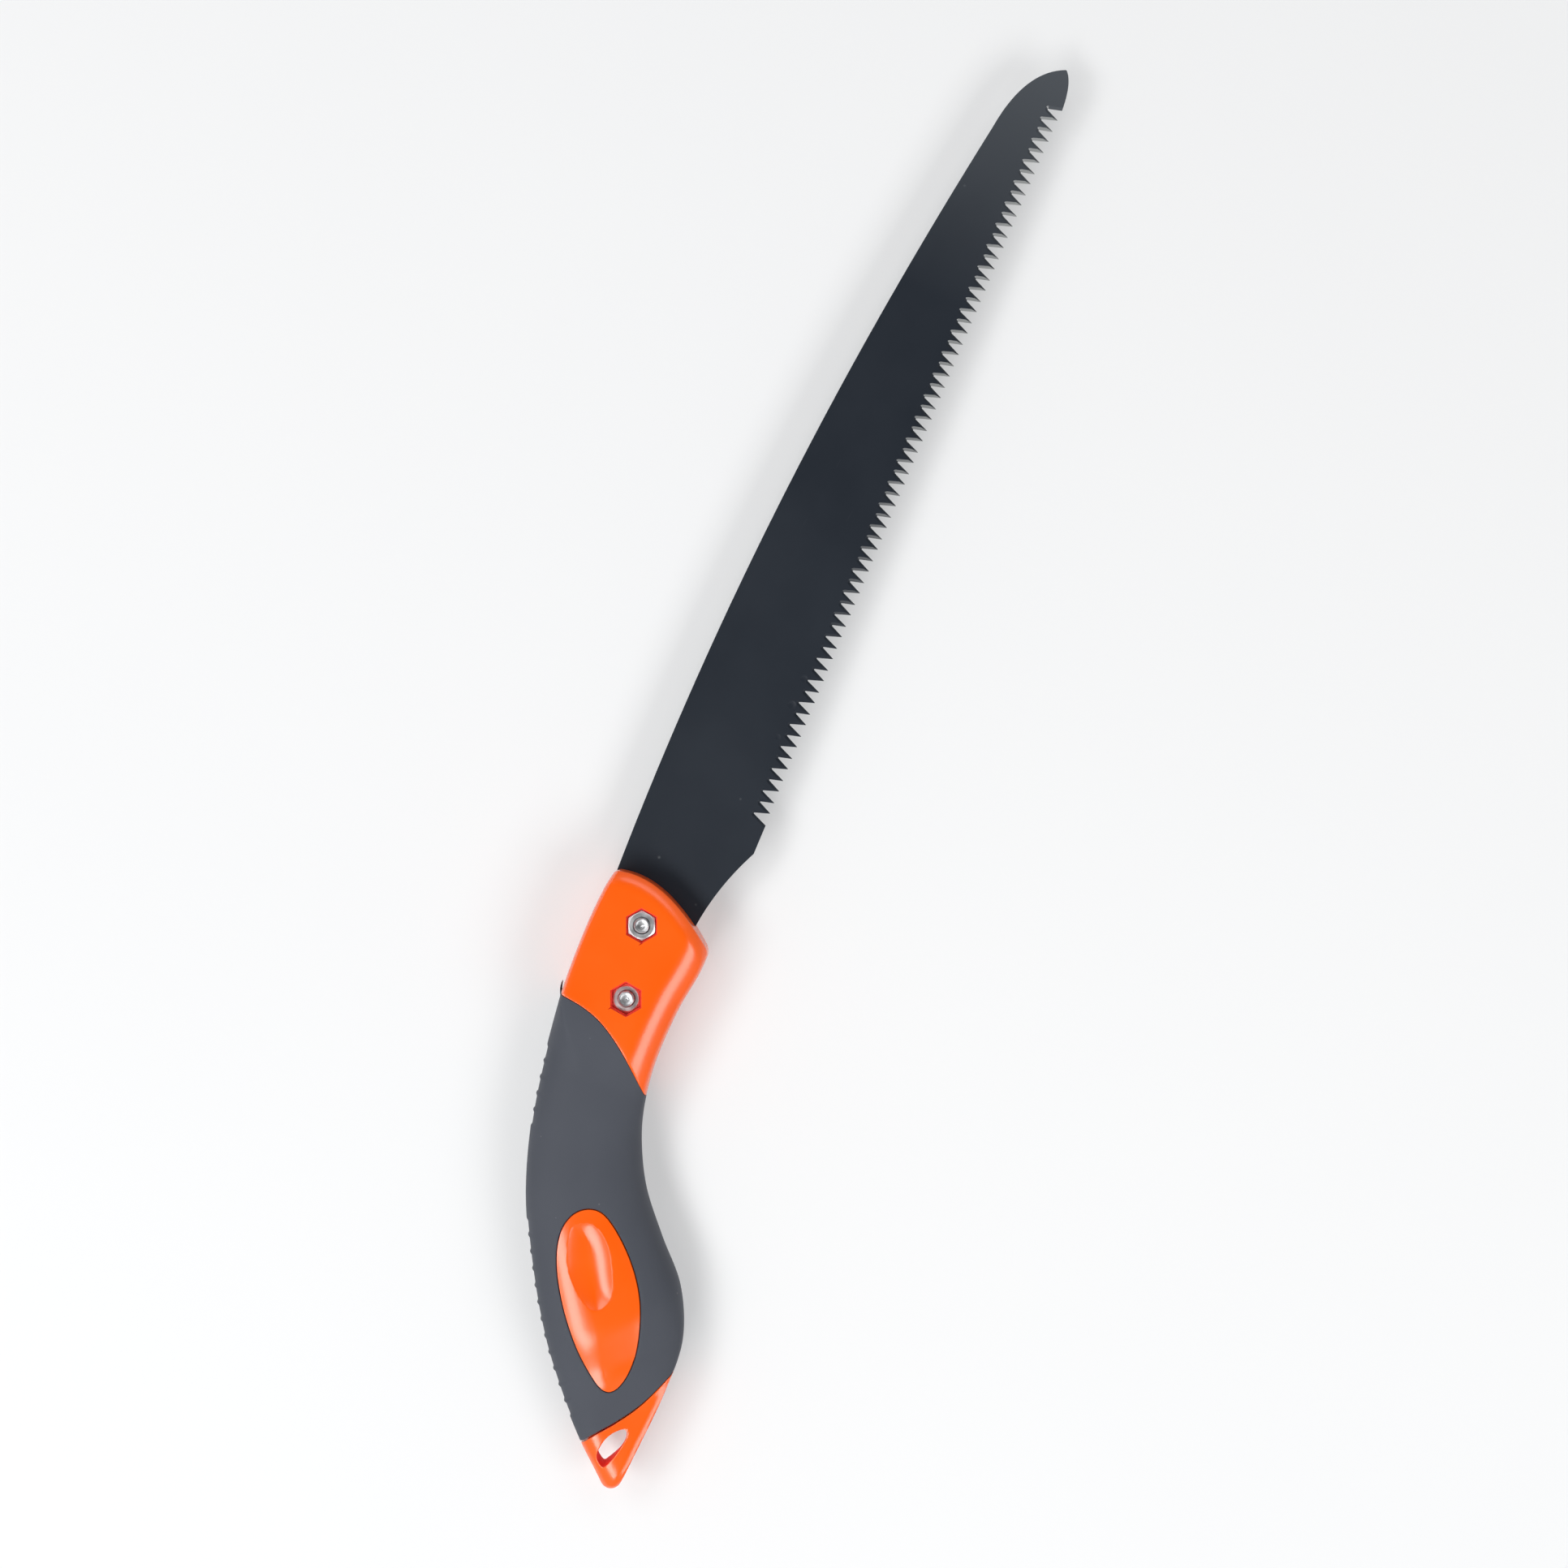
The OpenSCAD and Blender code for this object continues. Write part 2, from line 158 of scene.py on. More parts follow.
# %% Curves through points
def curve(rows, u):
    last = len(rows) - 1
    i = min(int(u), last - 1)
    t = u - i
    a, b, c, d = rows[max(i - 1, 0)], rows[i], rows[i + 1], rows[min(i + 2, last)]
    return b + (c - a + (2 * a - 5 * b + 4 * c - d + (3 * b - 3 * c + d - a) * t) * t) * (t / 2)

def steps(rows, u):
    i = min(int(u), len(rows) - 2)
    t = u - i
    return rows[i] + (rows[i + 1] - rows[i]) * t * t * (3 - 2 * t)

def closed_curve(points, parts):
    points, count = [Vector(point) for point in points], len(points)
    return [curve([points[(i + j) % count] for j in (-1, 0, 1, 2)], 1 + k / parts)
            for i in range(count) for k in range(parts)]

def bow(start, control, end, parts):
    return [start * (1 - t) ** 2 + control * 2 * t * (1 - t) + end * t * t
            for t in (k / parts for k in range(parts + 1))]

print("A quarter of the way:", curve([0, 1], 0.25), "or in steps", steps([0, 1], 0.25))

# %% Spine, belly and thickness of the handle
HANDLE_LENGTH, BOLSTER_HEIGHT, MID = 170.0, 37.3, 12.0

def plan(points):
    return [Vector((x * HANDLE_LENGTH, y * BOLSTER_HEIGHT)) / 1000 for x, y in points]

SPINE = plan([(129, 480), (82, 493), (0, 477), (-109, 418), (-234, 300), (-351, 145), (-469, -88),
              (-586, -429), (-675, -743), (-745, -1048), (-804, -1351), (-839, -1566), (-855, -1665)])
BELLY = plan([(74, -506), (24, -511), (-47, -493), (-141, -517), (-218, -590), (-282, -708), (-353, -917),
              (-418, -1212), (-482, -1528), (-565, -1740), (-659, -1802), (-759, -1815), (-839, -1812)])
# Row by row: thickness, and the width of the roundings at the spine and the belly
THICKNESS = [24] * 4 + [21] * 2 + [22.4] * 3 + [16.7] + [11] * 3
SPINE_ROUNDING = [1.6] * 4 + [16] * 6 + [8] * 3
BELLY_ROUNDING = [10] * 4 + [16] * 6 + [5] * 3
LAST_ROW = len(SPINE) - 1
print("Rows of the handle:", LAST_ROW + 1)

# %% Ends, corners and bevels
# The front bulges out and draws back at its corners
FRONT_BULGE, BULGE_SKEW = 4.93, 0.25
BULGE = [FRONT_BULGE, FRONT_BULGE / 2] + [0] * 11
CORNER_BACK, CORNER_SHARE, BELLY_CORNER, SPINE_CORNER = 0.2, 0.2, 2.2, 1.9
TAIL_RADIUS, TAIL_CAP = 3.28, [0] * 12 + [1]
# Row by row: how much the belly's rounding is a bevel, and the share of the thickness it takes off
BELLY_BEVEL = [1] * 4 + [0.5] + [0] * 4 + [0.3] + [1] * 3
BELLY_DROP = [0.38] * 10 + [0.14] * 3
FRONT_BEVEL, FRONT_DROP = 5.5, 0.17
EDGE_RADIUS, EDGE_POWER = 0.8, 2.3
SPINE_CROWN, CROWN_WIDTH = [0.02] * 4 + [0] * 9, 4.0
print("Bevels:", FRONT_BEVEL, "and", BELLY_ROUNDING[0], "mm wide")

# %% [markdown]
# A cross-section runs from the belly to the spine over the top and back below. It is a full oval on the grip. The
# bolster has flat cheeks with a soft bevel at the belly and the front, and the tail has a shallow one at the belly.

# %% One cross-section
ACROSS_PARTS = 40
ACROSS = [(1 - cos(pi * j / ACROSS_PARTS)) / 2 for j in range(ACROSS_PARTS + 1)]

def clamped(value, most=1):
    return min(max(value, 0), most)

def round_over(depth, width):
    return (1 - (1 - clamped(depth / width)) ** EDGE_POWER) ** (1 / EDGE_POWER)

def corner_back(depth, radius):
    return radius - sqrt(radius ** 2 - clamped(radius - depth, radius) ** 2)

def tail_cap(v):
    half = (SPINE[-1] - BELLY[-1]).length / 2
    return sqrt(TAIL_RADIUS ** 2 - ((2 * v - 1) * half) ** 2) - sqrt(TAIL_RADIUS ** 2 - half ** 2)

def bevelled(depth, width, drop):
    return 1 - drop * (1 - clamped(depth / width)) ** 2

def plan_point(u, v, wall):
    spine, belly = curve(SPINE, u), curve(BELLY, u)
    across = spine - belly
    width = across.length
    inside = width - 2 * wall
    place = belly + across * ((wall + v * inside) / width)
    corner = CORNER_BACK * max(1 - v / CORNER_SHARE, 0) ** 2
    corner += corner_back(v * width, BELLY_CORNER) + corner_back((1 - v) * width, SPINE_CORNER)
    bulge = steps(BULGE, u) * 4 * v * (1 - v) * (1 + BULGE_SKEW * (2 * v - 1))
    place.x += bulge - corner * max(1 - u, 0)
    place += Vector((-across.y, across.x)) / width * tail_cap(v) * steps(TAIL_CAP, u)
    return place, inside

def skin_point(u, v, wall=0.0, end=1.0):
    place, inside = plan_point(u, v, wall)
    half = (steps(THICKNESS, u) / 2 - wall) * end
    half *= bevelled(plan_point(0, v, wall)[0].x - place.x, FRONT_BEVEL, FRONT_DROP)
    belly_width = steps(BELLY_ROUNDING, u) - wall
    oval = round_over(v * inside, belly_width)
    bevel = bevelled(v * inside, belly_width, steps(BELLY_DROP, u)) * round_over(v * inside, EDGE_RADIUS)
    half *= oval + (bevel - oval) * steps(BELLY_BEVEL, u)
    half *= round_over((1 - v) * inside, max(steps(SPINE_ROUNDING, u) - wall, EDGE_RADIUS))
    half *= 1 - steps(SPINE_CROWN, u) * max(1 - (1 - v) * inside / CROWN_WIDTH, 0) ** 2
    return place.x, place.y, half

def both_sides(upper):
    above = [(x, y, MID + half) for x, y, half in upper]
    return above + [(x, y, MID - half) for x, y, half in reversed(upper[1:-1])]

def section(row, wall=0.0, end=1.0):
    return both_sides([skin_point(row(v), v, wall, end) for v in ACROSS])

print("Points round a section:", 2 * ACROSS_PARTS)

# %% [markdown]
# The sleeve meets the bolster and the tail along slanting curves. For each place across the handle, halving a span
# of rows again and again finds where the skin crosses such a curve, so an edge of the mesh can lie on the seam.

# %% Rows of the two seams
BOLSTER_EDGE = plan([(-108, 421), (-111, 188), (-124, -21), (-155, -273), (-206, -574)])
TAIL_EDGE = plan([(-826, -1340), (-803, -1394), (-781, -1448), (-743, -1562), (-693, -1680), (-621, -1786)])
EDGE_PARTS, HALVINGS, ROW_STEP = 12, 24, 0.02

def edge_x(edge, y):
    places = [curve(edge, k / EDGE_PARTS) for k in range(EDGE_PARTS * (len(edge) - 1) + 1)]
    for p, q in zip(places, places[1:]):
        if q.y <= y <= p.y:
            return p.x + (q.x - p.x) * (p.y - y) / (p.y - q.y)
    return places[0].x if y > places[0].y else places[-1].x

def halved(near, far, is_before):
    """The place in a span at which a test turns false."""
    for _ in range(HALVINGS):
        middle = (near + far) / 2
        near, far = (middle, far) if is_before(middle) else (near, middle)
    return middle

def seam_rows(edge, low, high):
    def is_before(u, v):
        x, y, _half = skin_point(u, v)
        return x > edge_x(edge, y)
    return {v: halved(low, high, lambda u: is_before(u, v)) for v in ACROSS}

FRONT_SEAM = seam_rows(BOLSTER_EDGE, low=2, high=5.5)
TAIL_SEAM = seam_rows(TAIL_EDGE, low=8.5, high=11.5)

def row_length(u, v):
    a, b = skin_point(u - ROW_STEP, v), skin_point(u + ROW_STEP, v)
    return hypot(b[0] - a[0], b[1] - a[1]) / (2 * ROW_STEP)

def beside(seam, distance):
    """Rows at a distance from a seam, in millimetres towards the tail."""
    return lambda v: seam[v] + distance / row_length(seam[v], v)

def between(first, last, share):
    return lambda v: first(v) + (last(v) - first(v)) * share

print("Seams: rows", [round(seam[v], 2) for seam in (FRONT_SEAM, TAIL_SEAM) for v in (0, 1)])

# %% [markdown]
# ## The core
# One orange moulding is bolster, stem and tail. It steps down by the sleeve's wall between the seams. Their edges are
# rounded a little, which leaves the fine groove of a real two-shot moulding.

# %% Skin of the core
STEM_WALL, SEAM_RADIUS = 2.2, 0.2
FRONT_ROWS, TAIL_ROWS = 0.08, 0.7
END_RINGS, BOLSTER_RINGS, STEM_RINGS, TAIL_RINGS = 12, 56, 60, 40
QUARTER = [radians(90 * k / 4) for k in range(5)]

def end_sections(start, rows):
    sections = []
    for k in range(END_RINGS + 1):
        depth = 1 - cos(radians(90 * k / END_RINGS))
        sections.append(section(lambda v, u=start + rows * depth: u, 0, round_over(depth, 1)))
    return sections

def span(first, last, count, wall=0.0, shape=section):
    return [shape(between(first, last, k / count), wall) for k in range(1, count)]

def lip(seam, gap, radius, angles, shape=section):
    """Rings round an edge beside a seam. Gap and radius count towards the tail."""
    return [shape(beside(seam, gap + radius * (1 - sin(a))), SEAM_RADIUS * (1 - cos(a))) for a in angles]

front_seam, tail_seam = beside(FRONT_SEAM, 0), beside(TAIL_SEAM, 0)
rings = end_sections(0, FRONT_ROWS)
rings += span(lambda v: FRONT_ROWS, beside(FRONT_SEAM, -SEAM_RADIUS), BOLSTER_RINGS)
rings += lip(FRONT_SEAM, 0, -SEAM_RADIUS, QUARTER)
rings += [section(front_seam, STEM_WALL)]
rings += span(front_seam, tail_seam, STEM_RINGS, STEM_WALL)
rings += [section(tail_seam, STEM_WALL)]
rings += lip(TAIL_SEAM, 0, SEAM_RADIUS, reversed(QUARTER))
rings += span(beside(TAIL_SEAM, SEAM_RADIUS), lambda v: LAST_ROW - TAIL_ROWS, TAIL_RINGS)
rings += reversed(end_sections(LAST_ROW, -TAIL_ROWS))
core = loft("core_moulding", rings)
print("Core rings:", len(rings))

# %% [markdown]
# ## The sleeve
# The soft sleeve is moulded over the stem, closed all round. Shallow hollows with small beads between them, in two
# groups along the spine, keep the hand from slipping. A displacement texture could press them in, but the rings are
# close enough to place them exactly.

# %% Beads along the spine
BEAD_DEPTH, BEAD_WIDTH, BEAD_REACH = 0.42, 2.0, 7.0
# Place of the first bead along X, number of hollows after it and their pitch
BEAD_GROUPS = [(-34.6, 5, 5.07), (-84.3, 12, 5.17)]

SPINE_PARTS = 480
spots = [curve(SPINE, LAST_ROW * k / SPINE_PARTS) for k in range(SPINE_PARTS + 1)]
SPINE_LENGTHS = [0.0]
for here, there in zip(spots, spots[1:]):
    SPINE_LENGTHS.append(SPINE_LENGTHS[-1] + (there - here).length)

def along_spine(u):
    place = u / LAST_ROW * SPINE_PARTS
    i = min(int(place), SPINE_PARTS - 1)
    return SPINE_LENGTHS[i] + (SPINE_LENGTHS[i + 1] - SPINE_LENGTHS[i]) * (place - i)

BEADS = [(along_spine(halved(0.0, LAST_ROW, lambda u: curve(SPINE, u).x > x)), count, pitch)
         for x, count, pitch in BEAD_GROUPS]

def hollow(u):
    for first, count, pitch in BEADS:
        run = (along_spine(u) - first) / pitch
        if 0 < run < count:
            off = abs(run - round(run)) * pitch
            return BEAD_DEPTH * (1 - cos(pi * min(2 * off / BEAD_WIDTH, 1))) / 2
    return 0.0

def ribbed(row, wall=0.0):
    upper = []
    for v in ACROSS:
        u = row(v)
        x, y, half = skin_point(u, v, wall)
        if v > 0.5 and half < BEAD_REACH:
            inward = (curve(BELLY, u) - curve(SPINE, u)).normalized() * hollow(u) * (1 - (half / BEAD_REACH) ** 2)
            x, y = x + inward.x, y + inward.y
        upper.append((x, y, half))
    return both_sides(upper)

print("Beads:", sum(count + 1 for _first, count, _pitch in BEADS))

# %% Skin of the sleeve
FRONT_GAP, TAIL_GAP, SLEEVE_WALL, SLEEVE_RINGS = 0.1, 0.55, 2.15, 400
sleeve_front, sleeve_tail = beside(FRONT_SEAM, FRONT_GAP), beside(TAIL_SEAM, -TAIL_GAP)
rings = [section(sleeve_front, SLEEVE_WALL)]
rings += lip(FRONT_SEAM, FRONT_GAP, SEAM_RADIUS, reversed(QUARTER), ribbed)
rings += span(beside(FRONT_SEAM, FRONT_GAP + SEAM_RADIUS), beside(TAIL_SEAM, -TAIL_GAP - SEAM_RADIUS),
              SLEEVE_RINGS, shape=ribbed)
rings += lip(TAIL_SEAM, -TAIL_GAP, -SEAM_RADIUS, QUARTER, ribbed)
rings += [section(sleeve_tail, SLEEVE_WALL)]
rings += span(sleeve_tail, sleeve_front, STEM_RINGS, SLEEVE_WALL) + [rings[0]]
sleeve = loft("soft_sleeve", rings)
print("Sleeve rings:", len(rings))

# %% [markdown]
# ## The oval pads
# On each cheek the core comes through the sleeve as an oval pad: a low roof with a soft ridge, and a scoop for the
# thumb. The roof is a stack of loops that shrinks to the ridge and follows the sleeve's skin. The scoop is a bowl cut
# out of it, which gives the crisp rim.

# %% Lines of the pad
PAD_OUTLINE = plan([(-420, -676), (-445, -903), (-491, -1142), (-544, -1311), (-615, -1432), (-674, -1442),
                    (-697, -1346), (-667, -1099), (-603, -786), (-535, -558), (-478, -469), (-436, -517)])
# Place and lift above the sleeve's skin, from the front to the rear
RIDGE = [(-79.5, -24.0, 0.30), (-86.0, -27.6, 0.55), (-92.0, -31.2, 0.66), (-97.8, -35.1, 0.74),
         (-103.3, -40.3, 0.74), (-110.2, -45.1, 0.62), (-115.0, -48.8, 0.32)]
SCOOP_FLOOR = [(-80.9, -26.3, -0.95), (-83.9, -28.3, -1.12), (-86.7, -30.3, -1.2), (-89.5, -32.2, -1.12),
               (-92.2, -33.9, -0.92)]
SCOOP_RIM = [(-79.3, -19.6), (-82.9, -20.5), (-86.9, -22.3), (-90.1, -24.1), (-92.3, -26.0), (-94.1, -28.1),
             (-95.8, -30.5), (-97.2, -33.1), (-97.8, -35.6), (-96.7, -37.9), (-93.6, -39.1), (-90.7, -38.7),
             (-87.7, -37.4), (-84.5, -35.5), (-81.1, -33.2), (-78.3, -30.5), (-76.4, -27.6), (-75.7, -24.8),
             (-76.3, -22.4), (-77.7, -20.5)]
pad_outline = closed_curve(PAD_OUTLINE, parts=8)
scoop_rim = closed_curve(SCOOP_RIM, parts=5)

# Loop numbers of the foremost points
PAD_FRONT, SCOOP_FRONT = 92, 93

def beside_line(line, count, front):
    """One point of a line for each point of a loop, from front to rear and back again."""
    rows = [Vector(row) for row in line]
    ways = [min((i - front) % count, (front - i) % count) for i in range(count)]
    return [curve(rows, 2 * way / count * (len(rows) - 1)) for way in ways]

ridge = beside_line(RIDGE, len(pad_outline), PAD_FRONT)
scoop_floor = beside_line(SCOOP_FLOOR, len(scoop_rim), SCOOP_FRONT)
print("Points of pad and scoop:", len(pad_outline), len(scoop_rim))

# %% Heights on a skin
RAY_START = 60

def skin_height(piece, x, y):
    hit, place, _normal, _face = piece.ray_cast(Vector((x, y, RAY_START)) * MM, Vector((0, 0, -1)))
    return place.z / MM if hit else MID

def grown(outline, distance):
    count = len(outline)
    area = sum(outline[i - 1].cross(outline[i]) for i in range(count))
    outward = copysign(distance, area)
    moved = []
    for i, place in enumerate(outline):
        along = (outline[(i + 1) % count] - outline[i - 1]).normalized()
        moved.append(place + Vector((along.y, -along.x)) * outward)
    return moved

def level(outline, distance, z):
    return [(p.x, p.y, z) for p in grown(outline, distance)]

def draped(piece, outline, distance, lift):
    return [(p.x, p.y, skin_height(piece, p.x, p.y) + lift) for p in grown(outline, distance)]

def rim(piece, outline, profile):
    return [draped(piece, outline, out, lift) for out, lift in profile]

def shrunk(piece, outline, line, share):
    """The outline drawn in towards a line, with the skin's height and the line's lift."""
    ring = []
    for place, target in zip(outline, line):
        x, y = place.lerp(target.xy, share)
        ring.append((x, y, skin_height(piece, x, y), target.z))
    return ring

print(f"Sleeve's skin at the pad's front: {skin_height(sleeve, *RIDGE[0][:2]):.2f} mm")

# %% Model the roof of the pad
PAD_PROUD, PAD_EDGE, PAD_FOOT, LOOPS, RIDGE_POWER = 0.1, 0.25, MID + 4, 14, 1.3
rings = [level(pad_outline, 0, PAD_FOOT)]
rings += [draped(sleeve, pad_outline, -PAD_EDGE * (1 - cos(a)), PAD_PROUD - PAD_EDGE * (1 - sin(a)))
          for a in QUARTER]
roof_edge = grown(pad_outline, -PAD_EDGE)
for k in range(1, LOOPS + 1):
    rise = 1 - (1 - k / LOOPS) ** RIDGE_POWER
    rings.append([(x, y, skin + PAD_PROUD + (lift - PAD_PROUD) * rise)
                  for x, y, skin, lift in shrunk(sleeve, roof_edge, ridge, k / LOOPS)])
upper_pad = loft("pad", rings)
print(f"Pad: highest point {max(v.co.z for v in upper_pad.data.vertices) / MM:.2f} mm")

# %% Cut the scoop
SCOOP_POWER, FAR_UP = 1.8, MID + 30
# Growth outward and lift above the skin
SCOOP_LIP = [(1.2, 0.8), (0.4, 0.08), (0.15, -0.03), (0, -0.1)]
rings = [level(scoop_rim, SCOOP_LIP[0][0], FAR_UP)]
rings += rim(upper_pad, scoop_rim, SCOOP_LIP)
rim_heights = [z for _x, _y, z in rings[-1]]
for k in range(1, LOOPS + 1):
    fall = 1 - (1 - k / LOOPS) ** SCOOP_POWER
    ring = shrunk(sleeve, scoop_rim, scoop_floor, k / LOOPS)
    rings.append([(x, y, top + (skin + lift - top) * fall) for (x, y, skin, lift), top in zip(ring, rim_heights)])
combine(upper_pad, loft("scoop", rings))
tell("Pad with its scoop", upper_pad)

# %% [markdown]
# The sleeve has a window for each pad, a little larger than the pad, with a rounded rim. That leaves the fine dark
# groove round the pad. The cutter and the pad are made once and mirrored to the lower cheek.

# %% Open the sleeve and set the pads
TO_OTHER_CHEEK = Matrix.Translation((0, 0, 2 * MID * MM)) @ Matrix.Scale(-1, 4, (0, 0, 1))

def mirrored(piece):
    return close_up(copy_of(piece, piece.name + "_below", TO_OTHER_CHEEK))

WINDOW_RIM, WINDOW_FOOT = [(0.5, -0.5), (0.54, -0.2), (0.68, -0.03), (0.98, 0.15)], MID + 2
rings = [level(pad_outline, WINDOW_RIM[0][0], WINDOW_FOOT)]
rings += rim(sleeve, pad_outline, WINDOW_RIM)
rings += [level(pad_outline, WINDOW_RIM[-1][0], FAR_UP)]
window = loft("window", rings)
for piece, tool, operation in ((sleeve, window, "DIFFERENCE"), (core, upper_pad, "UNION")):
    below = mirrored(tool)
    combine(piece, tool, operation)
    combine(piece, below, operation)
tell("Pads set in the core", core)

# %% [markdown]
# At the spine, a thin flake of the sleeve has crept past the seam, as soft mouldings often do. It is a small tapering
# tongue, added to the sleeve.

# %% Flake at the front seam
FLAKE_PATH = [(-20.2, 14.9, 0.9), (-18.9, 15.75, 0.8), (-18.0, 16.3, 0.62), (-17.1, 16.62, 0.5),
              (-16.2, 16.84, 0.36), (-15.6, 16.95, 0.1)]
FLAKE_ACROSS, FLAKE_HEIGHT, FLAKE_LEAST = Vector((-0.43, 0.9)), 2.6, 0.4

def flake_ring(x, y, size, count=12):
    height = FLAKE_HEIGHT * (FLAKE_LEAST + (1 - FLAKE_LEAST) * size)
    turns = [2 * pi * k / count for k in range(count)]
    return [(x + FLAKE_ACROSS.x * size / 2 * cos(t), y + FLAKE_ACROSS.y * size / 2 * cos(t),
             MID + height * sin(t)) for t in turns]

combine(sleeve, loft("flake", [flake_ring(*row) for row in FLAKE_PATH]), "UNION")
tell("Sleeve", sleeve)

# %% [markdown]
# ## Openings in the core
# Each bolt has a round counterbore for its head below and a hexagonal pocket for its nut above. The tang has a slot,
# and the tail has one to hang the saw by. Each cutter opens out at the surface, so the moulded rims come out rounded.

# %% Cut the bolt holes and the nut pockets
BOLT_SPACING, BOLT_TURN, NUT_TURN = 22.4, radians(15), radians(27)
FRONT_PLACE = Vector((cos(BOLT_TURN), sin(BOLT_TURN))) * BOLT_SPACING / 2
REAR_PLACE = -FRONT_PLACE
CHEEK, NUT_FLATS, NUT_HEIGHT, HOLE_RADIUS = 24.0, 8.0, 4.7, 2.7
FRONT_NUT_TOP, REAR_NUT_TOP = CHEEK - 0.5, CHEEK - 2.1
FRONT_LEDGE, REAR_LEDGE, LEDGE_SLOPE = CHEEK - 1.1, CHEEK - 1.5, 0.1

def circle_ring(place, radius, z, count):
    turns = [2 * pi * k / count for k in range(count)]
    return [(place.x + radius * cos(t), place.y + radius * sin(t), z) for t in turns]

def lathe(name, place, profile, count=64):
    return loft(name, [circle_ring(place, radius, z, count) for radius, z in profile])

def corner_radius(flats):
    return flats / 2 / cos(pi / 6)

def turned(ring, place, angle):
    turn = Matrix.Rotation(angle, 2)
    return [(*(turn @ (Vector((x, y)) - place) + place), z) for x, y, z in ring]

# Flats of the pockets or radii of the bolt holes, and heights
POCKET_FLATS, LEDGE_FLATS = 8.3, 9.1
POCKET_RIM = [(9.15, CHEEK - 0.2), (9.22, CHEEK - 0.07), (9.4, CHEEK), (10.2, CHEEK + 0.6)]
BOLT_CUT = [(5.8, -1), (5.55, 0), (5.36, 0.07), (5.25, 0.25), (5.25, 3.9), (HOLE_RADIUS, 3.9), (HOLE_RADIUS, CHEEK)]
for place, top, ledge in ((FRONT_PLACE, FRONT_NUT_TOP, FRONT_LEDGE), (REAR_PLACE, REAR_NUT_TOP, REAR_LEDGE)):
    combine(core, lathe("bolt_cut", place, BOLT_CUT))
    pocket = [(POCKET_FLATS, top - NUT_HEIGHT), (POCKET_FLATS, ledge - LEDGE_SLOPE),
              (LEDGE_FLATS, ledge + LEDGE_SLOPE)] + POCKET_RIM
    rings = [turned(circle_ring(place, corner_radius(flats), z, 6), place, NUT_TURN) for flats, z in pocket]
    combine(core, loft("pocket_cut", rings))
print("Bolt holes:", [p.to_tuple(2) for p in (FRONT_PLACE, REAR_PLACE)])

# %% [markdown]
# Two pockets have a short split at one corner, left by the mould, and the cheek has one small dent. They are tiny
# wedges, widest at the pocket, and one flat lens.

# %% Small marks in the cheek
SPLITS, OVER = [((6.4, 0.4), (5.15, 1.0)), ((-14.9, -0.2), (-16.0, 0.5))], CHEEK + 0.3
# Share of a split's length, its half width and its depth
SPLIT_SECTIONS = [(0, 0.36, 0.8), (0.55, 0.2, 0.6), (1, 0.04, 0.1)]
for start, end in SPLITS:
    start, end = Vector(start), Vector(end)
    side = Vector((start.y - end.y, end.x - start.x)).normalized()
    rings = []
    for share, width, depth in SPLIT_SECTIONS:
        place = start.lerp(end, share)
        rings.append([(*(place + side * width), OVER), (*(place - side * width), OVER), (*place, CHEEK - depth)])
    combine(core, loft("split", rings))

def lens(name, place, size, turn=0.0):
    piece = begin(bpy.ops.mesh.primitive_uv_sphere_add, name, segments=32, ring_count=24, radius=MM)
    matrix = Matrix.Translation(Vector(place) * MM) @ Matrix.Rotation(turn, 4, "Z")
    piece.data.transform(matrix @ Matrix.Diagonal((*size, 1)))
    return piece

dent = lens("dent", place=(5.8, -12.2, CHEEK + 0.1), size=(0.8, 0.28, 0.28), turn=radians(10))
combine(core, dent)
tell("Core with its pockets", core)

# %% Cut the tang slot
BLADE_THICKNESS, SLOT_GAP, SLOT_PAST = 1.25, 0.12, 1
# Steps from the spine to the blade's back, the belly to the tang and the rear bolt to its end
BACK_STEP, TANG_STEP, TANG_REACH = 0.9, 7.6, 7.5
FRONT_X, BACK_HEIGHT, TANG_LOW = SPINE[0].x, SPINE[1].y - BACK_STEP, BELLY[1].y + TANG_STEP
TANG_END, TANG_TOP = REAR_PLACE.x - TANG_REACH, 2 * REAR_PLACE.y - TANG_LOW
tang = [Vector(p) for p in ((TANG_END, TANG_LOW), (FRONT_X + SLOT_PAST, TANG_LOW),
                            (FRONT_X + SLOT_PAST, BACK_HEIGHT), (TANG_END, TANG_TOP))]
half_slot = BLADE_THICKNESS / 2 + SLOT_GAP
combine(core, plate("tang_slot", grown(tang, 1.5 * SLOT_GAP), MID - half_slot, MID + half_slot))
print(f"Tang slot: {2 * half_slot:.2f} mm high")

# %% Cut the hang slot
HANG_OUTLINE = [(-128.3, -62.6), (-130.6, -62.8), (-135.2, -62.3), (-138.9, -61.3), (-140.2, -60.4), (-139.4, -58.6),
                (-138.3, -57.6), (-136.2, -57.1), (-132.7, -57.4), (-129.8, -58.6), (-127.4, -60.6), (-127.2, -61.8)]
# The rear end stays upright, and the draft comes in over this span
HANG_REAR, HANG_SPAN, HANG_DRAFT = -139.5, 5.0, 0.8
hang = closed_curve(HANG_OUTLINE, parts=5)
shares = [clamped((p.x - HANG_REAR) / HANG_SPAN) for p in hang]
hang_below = [p.lerp(q, share) for p, q, share in zip(hang, grown(hang, HANG_DRAFT), shares)]

